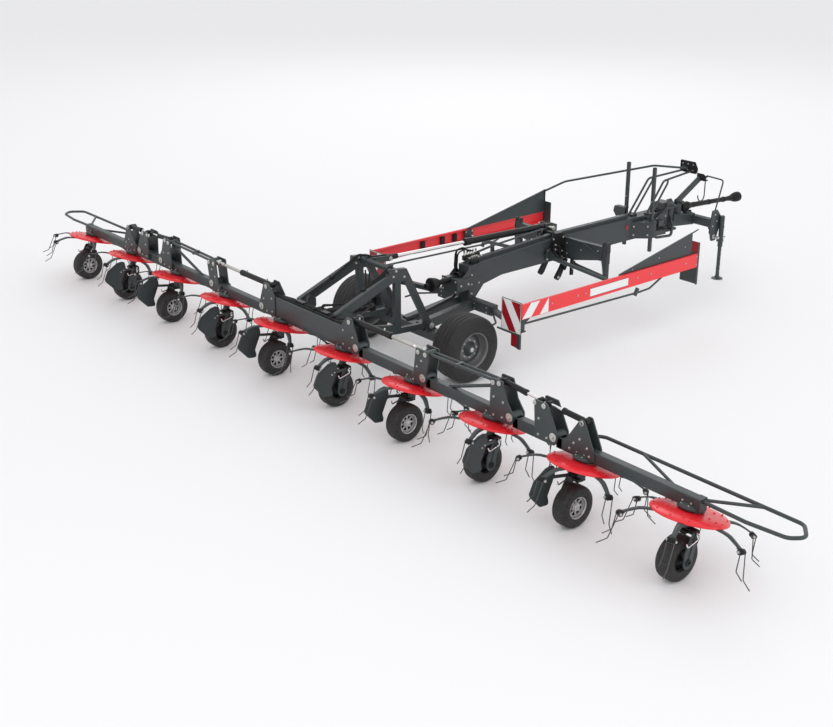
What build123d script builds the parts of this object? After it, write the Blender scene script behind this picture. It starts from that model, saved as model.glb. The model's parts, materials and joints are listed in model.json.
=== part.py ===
import os
from math import atan2, cos, degrees, radians, sin

from build123d import *

# Trailed rotary hay tedder in its working position: ten rotors on a hinged row behind a transport
# chassis. Millimetres, +Z up, +Y towards the tractor, +X to the machine's right. The origin is on
# the ground on the centre line, midway along the machine.

clear = 0.4  # running gap between a pin or spindle and its bore
gap = 8  # air between pieces that swing past each other
seat = 0.3  # between pieces that are bolted or bear on each other
tube_sides = 6
pin_sides = 6
boss_sides = 8

# Stations along the machine
row_y = -3629.3  # line of the rotor wheels
axle_y = row_y + 1600  # transport axle
drawbar_rear_y = row_y + 2430
drawbar_front_y = row_y + 6210
swivel_y = row_y + 6350  # upright pin of the hitch
hitch_y = row_y + 6850  # cross bar of the hitch
pto_front_y = row_y + 7940

# Rotor row
rotor_pitch = 1200
rotor_y = row_y + 131  # rotor axis where it meets the plate
rotor_z = 588
rotor_tilt = 15.3  # axis leans back, so that the tines dip in front
plate_radius = 345
plate_crown_radius = 250
plate_hub_radius = 105
housing_sides = 8
plate_rise = 44  # rim to crown
plate_sides = 12
plate_bore_sides = 6
column_radius = 42  # leg tube that passes through the plate

# Tine arms
arm_count = 6
arm_width = 36
arm_thick = 14
arm_root_radius = 290
arm_bend_radius = 440
arm_tip_radius = 590
arm_tip_drop = 98
coil_radius = 24
coil_length = 74
tine_radius = 5
tine_spread = 30  # half the distance between the two tines of an arm
tine_foot_drop = 385
odd_phase = 35  # angle of an arm on the odd rotors
even_phase = 55  # the arms of neighbours then mesh half an arm pitch apart

# Rotor wheels
wheel_radius = 205.5
wheel_width = 166
wheel_shoulder = 176
wheel_sides = 14
wheel_rim_sides = 8
wheel_rim_radius = 104
wheel_rim_depth = 34
spindle_radius = 14
wheel_leg_gap = 26  # tyre side to leg plate
leg_plate_thick = 14
guard_thick = 6
guard_gap = 38  # leg plate to wheel guard

# Row beams
beam_y = row_y + 130
beam_width = 90
beam_low = 646
beam_high = 762
hinge_z = 755
hinge_pin_radius = 24
hinge_boss_radius = 50
fork_plate_thick = 14
fork_inside = 128  # clear width between the plates of a hinge fork
fork_low = 672
lug_z = 1022  # pins of the cylinders above the row
wing_hinge_x = 910
middle_hinge_x = 2030
link_hinge_x = 3300
outer_hinge_x = 3875
centre_low = 700
centre_high = 930
centre_width = 130
eye_pin_radius = 16
wing_base_x = wing_hinge_x - 110
wing_eye_x = middle_hinge_x - 70
wing_mid_x = wing_base_x + 640
wing_rod_radius = 17
wing_stroke = 460
chord_eye_x = middle_hinge_x + 40
chord_end_x = link_hinge_x - 232
chord_radius = 16
chord_spread = 34  # half the distance between the two tubes of an upper chord
middle_base_x = link_hinge_x - 150
middle_base_z = lug_z + 34
outer_base_x = outer_hinge_x + 325
outer_base_z = lug_z - 22

# Lift frame and chassis
axle_z = 400
axle_size = 120
lift_pivot_y = row_y + 1560
lift_pivot_z = 520
lift_x = 350  # side frames of the lift frame
lift_tube = 60
lift_apex_y = row_y + 1100
lift_apex_z = 1262
lift_eye_y = row_y + 1400
lift_eye_z = 1250
lift_cylinder_x = -205
lift_barrel_radius = 44
lift_rod_radius = 23
lift_stroke = 1060
lift_base_y = row_y + 4060
lift_base_z = 1160
main_track = 960
main_radius = 400
main_width = 360
main_rim_radius = 205
main_sides = 18  # a flat lies on the ground
drawbar_width = 180
drawbar_low = 780
drawbar_high = 1080
drawbar_ridge_width = 64
drawbar_ridge_rise = 46
guard_x = 1400
guard_rear_y = row_y + 2060
guard_front_y = row_y + 5250
guard_low = 750
guard_high = 930
guard_peak = 1246
guard_bar_thick = 30
guard_inner = guard_x - guard_bar_thick / 2
guard_sheet_thick = 6
guard_sheet_x = guard_inner - seat - guard_sheet_thick / 2
guard_board_thick = 12
guard_sheet_end_y = guard_front_y - guard_board_thick / 2 - seat
swivel_radius = 28
post_x = 230
post_y = row_y + 5690
post_size = 44
post_top = 1775
post_low = 600
jack_radius = 30
jack_wall = 6
strut_foot_y = row_y + 6518
strut_foot_z = 1132
holder_y = row_y + 6945
holder_z = 1430
link_pin_z = 640
link_pin_x = 418
link_plate_thick = 20
jack_x = link_pin_x + link_plate_thick / 2 + jack_radius + jack_wall
jack_y = row_y + 6970
link_pin_radius = 18.25
pto_z = 970

os.makedirs("parts", exist_ok=True)


def rod(start, end, radius, sides=tube_sides):
    reach = Vector(*end) - Vector(*start)
    with BuildSketch(Plane(start, z_dir=reach)) as section:
        RegularPolygon(radius, sides)
    extrude(section.sketch, amount=reach.length)


def bent_rod(points, radius):
    # Tube with mitred bends
    with BuildLine() as path:
        Polyline(*points)
    with BuildSketch(Plane(path.line @ 0, z_dir=path.line % 0)) as section:
        RegularPolygon(radius, tube_sides)
    sweep(section.sketch, path=path.line, transition=Transition.RIGHT)


def box_rod(start, end, width, height, side=(1, 0, 0)):
    # A straight box tube; width is measured along side
    reach = Vector(*end) - Vector(*start)
    with BuildSketch(Plane(start, x_dir=side, z_dir=reach)) as section:
        Rectangle(width, height)
    extrude(section.sketch, amount=reach.length)


def side_plate(points, x, thick):
    # Outline in Y, Z
    with BuildSketch(Plane.YZ.offset(x)) as outline:
        with BuildLine():
            Polyline(*points, close=True)
        make_face()
    extrude(outline.sketch, amount=thick / 2, both=True)


def row_plate(points, y, thick):
    # Outline in X, Z
    with BuildSketch(Plane.XZ.offset(-y)) as outline:
        with BuildLine():
            Polyline(*points, close=True)
        make_face()
    extrude(outline.sketch, amount=thick / 2, both=True)


def cross_pin(x_from, x_to, y, z, radius, sides=pin_sides):
    with BuildSketch(Plane.YZ.offset(x_from)) as section:
        with Locations((y, z)):
            RegularPolygon(radius, sides)
    extrude(section.sketch, amount=x_to - x_from)


def cross_bore(x_from, x_to, y, z, radius, sides=pin_sides):
    # The flats of a bore clear the corners of its pin at any angle
    with BuildSketch(Plane.YZ.offset(x_from)) as section:
        with Locations((y, z)):
            RegularPolygon(radius + clear, sides, major_radius=False)
    extrude(section.sketch, amount=x_to - x_from, mode=Mode.SUBTRACT)


def row_pin(x, z, y_from, y_to, radius, sides=pin_sides):
    with BuildSketch(Plane.XZ.offset(-y_from)) as section:
        with Locations((x, z)):
            RegularPolygon(radius, sides)
    extrude(section.sketch, amount=y_from - y_to)


def row_bore(x, z, y_from, y_to, radius, sides=pin_sides):
    with BuildSketch(Plane.XZ.offset(-y_from)) as section:
        with Locations((x, z)):
            RegularPolygon(radius + clear, sides, major_radius=False)
    extrude(section.sketch, amount=y_from - y_to, mode=Mode.SUBTRACT)


def frustum(plane, sides, radius, end_radius, length, mode=Mode.ADD):
    # Flat-sided ring of a turned form; radii are to the middle of the flats
    slope = degrees(atan2(radius - end_radius, length))
    with BuildSketch(plane) as section:
        RegularPolygon(radius, sides, major_radius=False)
    extrude(section.sketch, amount=length, taper=slope, mode=mode)


def write(piece, label):
    piece.label = label
    export_step(piece, f"parts/{label}.step")


def rotor_plane(x, phase=0):
    # Plane of a rotor: local Z is the rotor axis, phase turns local X about it
    tilt = radians(rotor_tilt)
    turn = radians(phase)
    local_x = (cos(turn), sin(turn) * cos(tilt), -sin(turn) * sin(tilt))
    return Plane((x, rotor_y, rotor_z), x_dir=local_x, z_dir=(0, sin(tilt), cos(tilt)))


# Rotor: a dished plate, six tine arms and two spring tines on each arm
tine_table = (
    # side, elbow radius, elbow drop, foot radius, foot drop
    (-1, 655, 330, 742, tine_foot_drop),
    (1, 615, 268, 690, 318),
)
with BuildPart() as rotor_form:
    rim_plane = Plane.XY.offset(-plate_rise / 5)
    frustum(rim_plane, plate_sides, plate_radius, plate_crown_radius, plate_rise * 0.7)
    frustum(rim_plane.rotated((180, 0, 0)), plate_sides, plate_radius, plate_radius - 10, plate_rise * 0.3)
    with BuildSketch(Plane.XY.offset(-plate_rise)) as bore:
        RegularPolygon(column_radius + clear, plate_bore_sides, major_radius=False)
    extrude(bore.sketch, amount=2 * plate_rise, mode=Mode.SUBTRACT)
    for arm in range(arm_count):
        turn = 360 / arm_count * arm
        arm_plane = Plane.XZ.rotated((0, 0, turn))
        with BuildSketch(arm_plane) as bow:
            with BuildLine():
                Polyline(
                    (arm_root_radius, -plate_rise / 2),
                    (arm_bend_radius, -plate_rise / 2),
                    (arm_tip_radius, -arm_tip_drop),
                    (arm_bend_radius - arm_thick, -plate_rise / 2 - arm_thick),
                    (arm_root_radius, -plate_rise / 2 - arm_thick),
                    close=True,
                )
            make_face()
        extrude(bow.sketch, amount=arm_width / 2, both=True)
        with BuildSketch(arm_plane.offset(-coil_length / 2)) as coil:
            with Locations((arm_tip_radius, -arm_tip_drop - coil_radius / 2)):
                RegularPolygon(coil_radius, 4)
        extrude(coil.sketch, amount=coil_length)
        for side, elbow_r, elbow_drop, foot_r, foot_drop in tine_table:
            tine_plane = arm_plane.offset(side * tine_spread)
            with BuildSketch(tine_plane) as tine:
                with BuildLine():
                    Polyline(
                        (arm_tip_radius, -arm_tip_drop - coil_radius / 2),
                        (elbow_r + tine_radius, -elbow_drop),
                        (foot_r, -foot_drop),
                        (elbow_r - tine_radius, -elbow_drop - tine_radius),
                        close=True,
                    )
                make_face()
            extrude(tine.sketch, amount=tine_radius, both=True)

# Rotor wheel: tyre and rim in one, with a blind hub bore for the spindle
with BuildPart() as wheel_form:
    for side in (-1, 1):
        half = Plane.YZ if side > 0 else Plane.YZ.rotated((0, 0, 180))
        frustum(half, wheel_sides, wheel_radius, wheel_radius, wheel_width * 0.26)
        frustum(half.offset(wheel_width * 0.26), wheel_sides, wheel_radius, wheel_shoulder, wheel_width * 0.24)
        frustum(
            half.offset(wheel_width / 2 - wheel_rim_depth),
            wheel_rim_sides,
            wheel_rim_radius,
            wheel_rim_radius,
            wheel_rim_depth,
            mode=Mode.SUBTRACT,
        )
    cross_bore(-wheel_width, wheel_width / 4, 0, 0, spindle_radius)


def rotor_station(x, side, guarded):
    # Gear housing under the beam, leg through the plate, wheel spindle and wheel guard
    plane = rotor_plane(x)
    frustum(plane.offset(plate_rise / 2 + gap), housing_sides, plate_hub_radius, plate_hub_radius - 16, 70)
    with BuildSketch(plane.offset(-140)) as column:
        RegularPolygon(column_radius, plate_bore_sides)
    extrude(column.sketch, amount=140 + plate_rise)
    leg_x = x + side * (wheel_width / 2 + wheel_leg_gap + leg_plate_thick / 2)
    head_y = row_y + 92
    head_z = 452
    box_rod((x - side * 30, head_y, head_z), (leg_x, head_y, head_z), 64, 44, side=(0, 1, 0))
    side_plate(
        [
            (head_y - 32, head_z + 22),
            (head_y + 32, head_z + 22),
            (head_y + 32, head_z - 70),
            (row_y + 66, wheel_radius + 10),
            (row_y + 30, wheel_radius - 62),
            (row_y - 34, wheel_radius - 60),
            (row_y - 58, wheel_radius),
        ],
        leg_x,
        leg_plate_thick,
    )
    cross_pin(leg_x, x - side * wheel_width / 5, row_y, wheel_radius, spindle_radius)
    if guarded:
        guard_plane_x = leg_x + side * guard_gap
        side_plate(
            [
                (row_y - 86, 486),
                (row_y - 100, 580),
                (row_y - 200, 588),
                (row_y - 360, 500),
                (row_y - 412, 392),
                (row_y - 270, 216),
                (row_y - 150, 200),
                (row_y - 178, 300),
            ],
            guard_plane_x,
            guard_thick,
        )
        stay_end = (guard_plane_x, row_y - 110, 470)
        box_rod((leg_x, row_y + 62, 450), stay_end, 30, 14, side=(0, 0, 1))


def hinge_fork(x, reach, top_outline):
    # Two plates at the outer end of a section, with the hinge pin across them
    for side in (-1, 1):
        y = beam_y + side * (fork_inside + fork_plate_thick) / 2
        row_plate(
            [
                (x - reach, fork_low),
                (x + 10, fork_low),
                (x + hinge_boss_radius, hinge_z - 30),
                (x + hinge_boss_radius, hinge_z + 26),
            ]
            + top_outline,
            y,
            fork_plate_thick,
        )
        block_y = beam_y + side * (beam_width / 2 + (fork_inside - beam_width) / 4)
        with Locations((x - reach + 45, block_y, (fork_low + beam_high) / 2)):
            Box(80, (fork_inside - beam_width) / 2, beam_high - fork_low)
    pin_half = fork_inside / 2 + fork_plate_thick + 16
    row_pin(x, hinge_z, beam_y - pin_half, beam_y + pin_half, hinge_pin_radius)


def hinge_tongue(x):
    # Boss at the inner end of a section, between the plates of the fork
    half = fork_inside / 2 - 4
    row_pin(x, hinge_z, beam_y - half, beam_y + half, hinge_boss_radius, boss_sides)
    with Locations((x + 45, beam_y, (fork_low + beam_high) / 2)):
        Box(70, beam_width, beam_high - fork_low)
    row_bore(x, hinge_z, beam_y - half, beam_y + half, hinge_pin_radius)


def row_beam(x_from, x_to):
    with Locations(((x_from + x_to) / 2, beam_y, (beam_low + beam_high) / 2)):
        Box(x_to - x_from, beam_width, beam_high - beam_low)


# Centre section
with BuildPart() as centre_section:
    with Locations((0, beam_y, (centre_low + centre_high) / 2)):
        Box(2 * (wing_hinge_x - 110), centre_width, centre_high - centre_low)
    for mirror_side in (-1, 1):
        for side in (-1, 1):
            row_plate(
                [
                    (mirror_side * (wing_hinge_x - 260), fork_low + 20),
                    (mirror_side * (wing_hinge_x + 10), fork_low),
                    (mirror_side * (wing_hinge_x + hinge_boss_radius), hinge_z - 30),
                    (mirror_side * (wing_hinge_x + hinge_boss_radius), hinge_z + 26),
                    (mirror_side * (wing_hinge_x - 60), lug_z + 40),
                    (mirror_side * (wing_hinge_x - 160), lug_z + 40),
                    (mirror_side * (wing_hinge_x - 270), centre_high),
                ],
                beam_y + side * (fork_inside + fork_plate_thick) / 2,
                fork_plate_thick,
            )
        pin_half = fork_inside / 2 + fork_plate_thick + 16
        row_pin(mirror_side * wing_hinge_x, hinge_z, beam_y - pin_half, beam_y + pin_half, hinge_pin_radius)
        row_pin(mirror_side * wing_base_x, lug_z, beam_y - pin_half, beam_y + pin_half, eye_pin_radius)
        rotor_station(mirror_side * rotor_pitch / 2, mirror_side, True)
    with Locations((0, beam_y, centre_low - 20)):
        Box(2 * (rotor_pitch / 2 + 40), 70, 60)
    with Locations((0, beam_y + centre_width / 2 + 70, (centre_low + centre_high) / 2)):
        Box(220, 150, 170)
    cross_y = beam_y + centre_width / 2 + 145
    rod((0, cross_y - 10, 815), (0, cross_y + 70, 815), 40)

# Sections of the right wing; the left wing mirrors them
section_table = (
    # name, inner hinge, outer hinge, rotor place, leg side
    ("inner", wing_hinge_x, middle_hinge_x, 1.5, -1),
    ("middle", middle_hinge_x, link_hinge_x, 2.5, 1),
)
fork_tops = {
    "inner": [
        (middle_hinge_x + 84, lug_z - 30),
        (middle_hinge_x + 84, lug_z + 38),
        (middle_hinge_x - 110, lug_z + 38),
        (middle_hinge_x - 150, beam_high),
        (middle_hinge_x - 190, beam_high),
    ],
    "middle": [
        (link_hinge_x - 40, 900),
        (link_hinge_x - 105, lug_z + 64),
        (link_hinge_x - 268, lug_z + 64),
        (link_hinge_x - 278, beam_high),
    ],
}
fork_reach = {"inner": 190, "middle": 270}
wing_parts = {}
for name, hinge_in, hinge_out, place, leg_side in section_table:
    with BuildPart() as section:
        row_beam(hinge_in + 20, hinge_out - 70)
        hinge_tongue(hinge_in)
        hinge_fork(hinge_out, fork_reach[name], fork_tops[name])
        rotor_station(place * rotor_pitch, leg_side, True)
        if name == "middle":
            for side in (-1, 1):
                chord_y = beam_y + side * chord_spread
                rod((chord_eye_x, chord_y, lug_z), (chord_end_x, chord_y, lug_z + 20), chord_radius)
            row_pin(chord_eye_x, lug_z, beam_y - chord_spread - 18, beam_y + chord_spread + 18, 34)
            row_pin(chord_end_x, lug_z + 20, beam_y - fork_inside / 2, beam_y + fork_inside / 2, 24)
            row_pin(middle_base_x, middle_base_z, beam_y - pin_half, beam_y + pin_half, eye_pin_radius)
            rod((middle_hinge_x + 330, beam_y, beam_high - 10), (chord_end_x, beam_y, lug_z - 30), 18)
    wing_parts[name] = section.part

with BuildPart() as link_section:
    row_beam(link_hinge_x + 20, outer_hinge_x - 70)
    hinge_tongue(link_hinge_x)
    hinge_fork(
        outer_hinge_x,
        240,
        [
            (outer_hinge_x - 90, lug_z + 30),
            (outer_hinge_x - 260, lug_z + 30),
            (outer_hinge_x - 240, beam_high),
        ],
    )
wing_parts["link"] = link_section.part

# Outer section with the last two rotors and the tube bow round them
end_x = 4.5 * rotor_pitch + 120
bow_front_y = row_y + 455
bow_z = 735
with BuildPart() as outer_section:
    row_beam(outer_hinge_x + 20, end_x)
    hinge_tongue(outer_hinge_x)
    for side in (-1, 1):
        row_plate(
            [
                (outer_hinge_x + 130, fork_low),
                (outer_hinge_x + 500, fork_low),
                (outer_hinge_x + 470, beam_high + 20),
                (outer_hinge_x + 350, lug_z + 8),
                (outer_hinge_x + 300, lug_z + 8),
                (outer_hinge_x + 130, beam_high + 10),
            ],
            beam_y + side * (beam_width + fork_plate_thick) / 2,
            fork_plate_thick,
        )
    row_pin(
        outer_base_x, outer_base_z, beam_y - beam_width / 2 - 30, beam_y + beam_width / 2 + 30, eye_pin_radius
    )
    rotor_station(3.5 * rotor_pitch, -1, True)
    rotor_station(4.5 * rotor_pitch, 1, False)
    bent_rod(
        [
            (outer_hinge_x + 110, beam_y + 20, bow_z + 20),
            (outer_hinge_x + 250, bow_front_y, bow_z),
            (6290, bow_front_y - 20, bow_z),
            (6440, bow_front_y - 190, bow_z),
            (6330, row_y + 150, bow_z),
            (5960, row_y + 112, bow_z),
            (end_x - 20, beam_y, bow_z),
        ],
        18,
    )
    for start_x, start_y, end_bow_x in ((4600, bow_front_y, 5240), (5920, bow_front_y - 10, 5500)):
        rod((start_x, start_y, bow_z), (end_bow_x, beam_y + 20, bow_z), 15)
wing_parts["outer"] = outer_section.part

write(centre_section.part, "centre_section")
for name, part in wing_parts.items():
    with BuildPart() as right_piece:
        add(part)
    with BuildPart() as left_piece:
        add(part.mirror(Plane.YZ))
    write(right_piece.part, f"{name}_section_right")
    write(left_piece.part, f"{name}_section_left")

# Rotors and rotor wheels, numbered from the left end
for number in range(1, 11):
    x = (number - 5.5) * rotor_pitch
    phase = even_phase if number % 2 == 0 else odd_phase
    leg_side = 1 if number % 2 == 0 else -1
    with BuildPart() as rotor:
        with Locations(rotor_plane(x, phase).location):
            add(rotor_form.part)
    write(rotor.part, f"rotor_{number}")
    with BuildPart() as rotor_wheel:
        spindle_turn = 180 if leg_side > 0 else 0
        with Locations(Location((x, row_y, wheel_radius), (0, 0, spindle_turn))):
            add(wheel_form.part)
    write(rotor_wheel.part, f"rotor_wheel_{number}")

# Cylinders above the row: wing cylinders in two pieces, short cylinders in one
with BuildPart() as wing_barrel:
    row_pin(wing_base_x, lug_z, beam_y - 28, beam_y + 28, 34)
    rod((wing_base_x + 20, beam_y, lug_z), (wing_mid_x, beam_y, lug_z), 36)
    with BuildSketch(Plane((wing_mid_x, beam_y, lug_z), z_dir=(-1, 0, 0))) as bore:
        RegularPolygon(wing_rod_radius + clear, tube_sides, major_radius=False)
    extrude(bore.sketch, amount=wing_stroke, mode=Mode.SUBTRACT)
    row_bore(wing_base_x, lug_z, beam_y - 30, beam_y + 30, eye_pin_radius)
with BuildPart() as wing_rod:
    rod((wing_mid_x - 80, beam_y, lug_z), (wing_eye_x - 26, beam_y, lug_z), wing_rod_radius)
    row_pin(wing_eye_x, lug_z, beam_y - 28, beam_y + 28, 32)
short_table = (
    # name, base x, base z, eye x, eye z
    ("middle", middle_base_x, middle_base_z, link_hinge_x + 330, lug_z),
    ("outer", outer_base_x, outer_base_z, outer_hinge_x - 130, lug_z),
)
cylinder_parts = {"wing_barrel": wing_barrel.part, "wing_rod": wing_rod.part}
for name, base_x, base_z, eye_x, eye_z in short_table:
    mid_x = base_x + 0.62 * (eye_x - base_x)
    mid_z = base_z + 0.62 * (eye_z - base_z)
    with BuildPart() as short_cylinder:
        row_pin(base_x, base_z, beam_y - 26, beam_y + 26, 34)
        rod((base_x, beam_y, base_z), (mid_x, beam_y, mid_z), 30)
        rod((mid_x, beam_y, mid_z), (eye_x, beam_y, eye_z), 15)
        row_pin(eye_x, eye_z, beam_y - 26, beam_y + 26, 28)
        bore_half = beam_width / 2
        row_bore(base_x, base_z, beam_y - bore_half, beam_y + bore_half, eye_pin_radius)
    cylinder_parts[f"{name}_cylinder"] = short_cylinder.part
for name, part in cylinder_parts.items():
    with BuildPart() as right_piece:
        add(part)
    with BuildPart() as left_piece:
        add(part.mirror(Plane.YZ))
    write(right_piece.part, f"{name}_right")
    write(left_piece.part, f"{name}_left")

# Lift frame: two triangulated side frames that carry the row and swing on the axle
row_front_y = beam_y + centre_width / 2
with BuildPart() as lift_frame:
    for side in (-1, 1):
        x = side * lift_x
        cross_pin(x - 24, x + 24, lift_pivot_y, lift_pivot_z, 46, boss_sides)
        box_rod((x, lift_pivot_y, lift_pivot_z), (x, lift_apex_y + 80, lift_apex_z), 48, 84)
        box_rod((x, lift_pivot_y, lift_pivot_z), (x, lift_apex_y - 20, lift_pivot_z + 30), 48, 70)
        box_rod((x, lift_apex_y - 20, lift_pivot_z), (x, lift_apex_y - 20, lift_apex_z), 52, 88)
        box_rod((x, row_front_y + 10, centre_high - 20), (x, lift_apex_y, lift_apex_z - 10), 56, 110)
        box_rod((x, row_front_y + 10, centre_low + 60), (x, lift_apex_y, lift_pivot_z + 60), 48, 80)
        side_plate(
            [
                (lift_apex_y - 150, lift_apex_z - 110),
                (lift_apex_y - 130, lift_apex_z + 60),
                (lift_apex_y + 110, lift_apex_z + 30),
                (lift_apex_y + 110, lift_apex_z - 110),
            ],
            x,
            lift_tube,
        )
        side_plate(
            [
                (row_front_y + 0.3, centre_low + 10),
                (row_front_y + 0.3, centre_high),
                (row_front_y + 90, centre_high + 20),
                (row_front_y + 90, centre_low + 10),
            ],
            x,
            90,
        )
        cross_bore(x - 30, x + 30, lift_pivot_y, lift_pivot_z, 21)
    rod((-lift_x, lift_apex_y, lift_apex_z), (lift_x, lift_apex_y, lift_apex_z), 40)
    for side in (-1, 1):
        side_plate(
            [
                (lift_apex_y - 40, lift_apex_z - 30),
                (lift_apex_y, lift_apex_z + 50),
                (lift_eye_y + 30, lift_eye_z + 30),
                (lift_eye_y + 30, lift_eye_z - 30),
            ],
            lift_cylinder_x + side * 42,
            14,
        )
write(lift_frame.part, "lift_frame")

# Lift cylinder along the left of the drawbar
lift_run = Vector(lift_cylinder_x, lift_base_y, lift_base_z) - Vector(lift_cylinder_x, lift_eye_y, lift_eye_z)
lift_unit = lift_run.normalized()
lift_base = Vector(lift_cylinder_x, lift_base_y, lift_base_z)
lift_eye = Vector(lift_cylinder_x, lift_eye_y, lift_eye_z)
lift_mouth = lift_base - lift_unit * 1440
with BuildPart() as lift_barrel:
    cross_pin(lift_cylinder_x - 44, lift_cylinder_x + 44, lift_base_y, lift_base_z, 42)
    rod(lift_base - lift_unit * 20, lift_mouth, lift_barrel_radius)
    with BuildSketch(Plane(lift_mouth, z_dir=lift_unit)) as bore:
        RegularPolygon(lift_rod_radius + clear, tube_sides, major_radius=False)
    extrude(bore.sketch, amount=lift_stroke, mode=Mode.SUBTRACT)
    cross_bore(lift_cylinder_x - 60, lift_cylinder_x + 60, lift_base_y, lift_base_z, 20)
write(lift_barrel.part, "lift_barrel")
with BuildPart() as lift_rod:
    rod(lift_mouth + lift_unit * 60, lift_eye, lift_rod_radius)
    rod(lift_eye + lift_unit * 30, lift_eye + lift_unit * 120, 34)
    cross_pin(lift_cylinder_x - 30, lift_cylinder_x + 30, lift_eye_y, lift_eye_z, 40)
write(lift_rod.part, "lift_rod")

# Axle with spindles, pivot ears, lower beams and knee
with BuildPart() as axle:
    inner_face = main_track - main_width / 2
    with Locations((0, axle_y, axle_z)):
        Box(2 * (inner_face - 60), axle_size, axle_size)
    for side in (-1, 1):
        cross_pin(side * (inner_face - 70), side * (main_track + 60), axle_y, axle_z, 34, boss_sides)
        for offset_x in (-40, 40):
            side_plate(
                [
                    (axle_y - 100, axle_z + 40),
                    (lift_pivot_y - 52, lift_pivot_z),
                    (lift_pivot_y - 36, lift_pivot_z + 40),
                    (lift_pivot_y + 36, lift_pivot_z + 40),
                    (lift_pivot_y + 52, lift_pivot_z),
                    (axle_y + 58, axle_z + 40),
                ],
                side * lift_x + offset_x,
                16,
            )
        cross_pin(side * lift_x - 60, side * lift_x + 60, lift_pivot_y, lift_pivot_z, 21)
        box_rod((side * 130, axle_y, axle_z + 20), (side * 130, drawbar_rear_y + 60, 514), 90, 120)
    with Locations((0, drawbar_rear_y + 70, 520)):
        Box(1000, 110, 120)
    for side in (-1, 1):
        box_rod(
            (side * 480, drawbar_rear_y + 70, 520),
            (side * (guard_inner - 40), guard_rear_y + 60, 600),
            60,
            60,
            side=(0, 1, 0),
        )
        box_rod(
            (side * (guard_inner - 40), guard_rear_y + 60, 570),
            (side * (guard_inner - 40), guard_rear_y + 60, 870),
            70,
            50,
        )
        with Locations((side * (guard_inner - 12), guard_rear_y + 60, 820)):
            Box(24, 60, 100)
write(axle.part, "axle")

# Drawbar
with BuildPart() as drawbar:
    side_plate(
        [
            (drawbar_rear_y, 580.3),
            (drawbar_rear_y, 1000),
            (row_y + 3950, drawbar_high),
            (drawbar_front_y, drawbar_high),
            (drawbar_front_y, drawbar_low),
            (row_y + 3000, drawbar_low),
            (drawbar_rear_y + 260, drawbar_low - 60),
            (drawbar_rear_y + 130, 580.3),
        ],
        0,
        drawbar_width,
    )
    side_plate(
        [
            (drawbar_rear_y + 60, 1000 - drawbar_ridge_rise),
            (drawbar_rear_y + 60, 1000 + drawbar_ridge_rise),
            (row_y + 3950, drawbar_high + drawbar_ridge_rise),
            (post_y - 260, drawbar_high + drawbar_ridge_rise),
            (post_y - 260, drawbar_high - drawbar_ridge_rise),
        ],
        0,
        drawbar_ridge_width,
    )
    for side in (-1, 1):
        side_plate(
            [
                (lift_base_y - 110, 1040),
                (lift_base_y - 40, lift_base_z + 50),
                (lift_base_y + 40, lift_base_z + 50),
                (lift_base_y + 130, 1040),
            ],
            lift_cylinder_x + side * (lift_barrel_radius + 15),
            14,
        )
    with Locations((lift_cylinder_x / 2 - 20, lift_base_y + 10, 1050)):
        Box(-lift_cylinder_x + 80, 220, 40)
    cross_pin(lift_cylinder_x - 75, lift_cylinder_x + 75, lift_base_y, lift_base_z, 20)
    for height in (drawbar_low - 15, drawbar_high + 15):
        with Locations((0, (drawbar_front_y + swivel_y) / 2, height)):
            Box(170, swivel_y - drawbar_front_y + 150, 30)
    rod((0, swivel_y, drawbar_low - 60), (0, swivel_y, drawbar_high + 60), swivel_radius, boss_sides)
    with Locations((0, post_y, 900)):
        Box(2 * post_x - post_size - 0.6, 90, 60)
write(drawbar.part, "drawbar")

# Hitch that swivels on the drawbar's upright pin, with its lower link pins and hose holder
with BuildPart() as hitch:
    rod((0, swivel_y, drawbar_low + gap), (0, swivel_y, drawbar_high - gap), 62, boss_sides)
    box_rod((0, swivel_y + 20, 880), (0, hitch_y, 830), 130, 170)
    with Locations((0, hitch_y, 830)):
        Box(2 * link_pin_x - 20, 110, 120)
    side_plate(
        [
            (hitch_y - 150, 830),
            (hitch_y - 150, pto_z + 60 - 62 - seat),
            (hitch_y - 60, pto_z + 60 - 62 - seat),
            (hitch_y + 20, 830),
        ],
        0,
        90,
    )
    for side in (-1, 1):
        x = side * link_pin_x
        side_plate(
            [
                (hitch_y - 70, 1030),
                (hitch_y + 50, 1030),
                (jack_y + 20, 920),
                (jack_y + 20, 820),
                (hitch_y + 50, link_pin_z - 60),
                (hitch_y - 50, link_pin_z - 60),
                (hitch_y - 80, 900),
            ],
            x,
            link_plate_thick,
        )
        with BuildSketch(Plane.YZ.offset(x)) as link_pin:
            with Locations((hitch_y, link_pin_z)):
                Circle(link_pin_radius)
        extrude(link_pin.sketch, amount=side * 110)
    with BuildSketch(Plane.XY.offset(drawbar_low - 60)) as bore:
        with Locations((0, swivel_y)):
            RegularPolygon(swivel_radius + clear, boss_sides, major_radius=False)
    extrude(bore.sketch, amount=drawbar_high, mode=Mode.SUBTRACT)
    side_plate(
        [
            (strut_foot_y - 38, 900),
            (strut_foot_y - 38, strut_foot_z + 10),
            (strut_foot_y - 18, strut_foot_z + 28),
            (strut_foot_y + 27, strut_foot_z + 28),
            (strut_foot_y + 57, strut_foot_z - 12),
            (strut_foot_y + 57, 900),
        ],
        0,
        70,
    )
    rod((0, strut_foot_y, strut_foot_z), (30, holder_y - 10, holder_z - 30), 25)
    with Locations((80, holder_y, holder_z)):
        Box(160, 70, 100)
    bent_rod(
        [
            (link_pin_x - 40, hitch_y + 20, 880),
            (link_pin_x - 40, hitch_y + 190, 1420),
            (140, holder_y + 10, holder_z + 25),
        ],
        11,
    )
write(hitch.part, "hitch")

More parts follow.
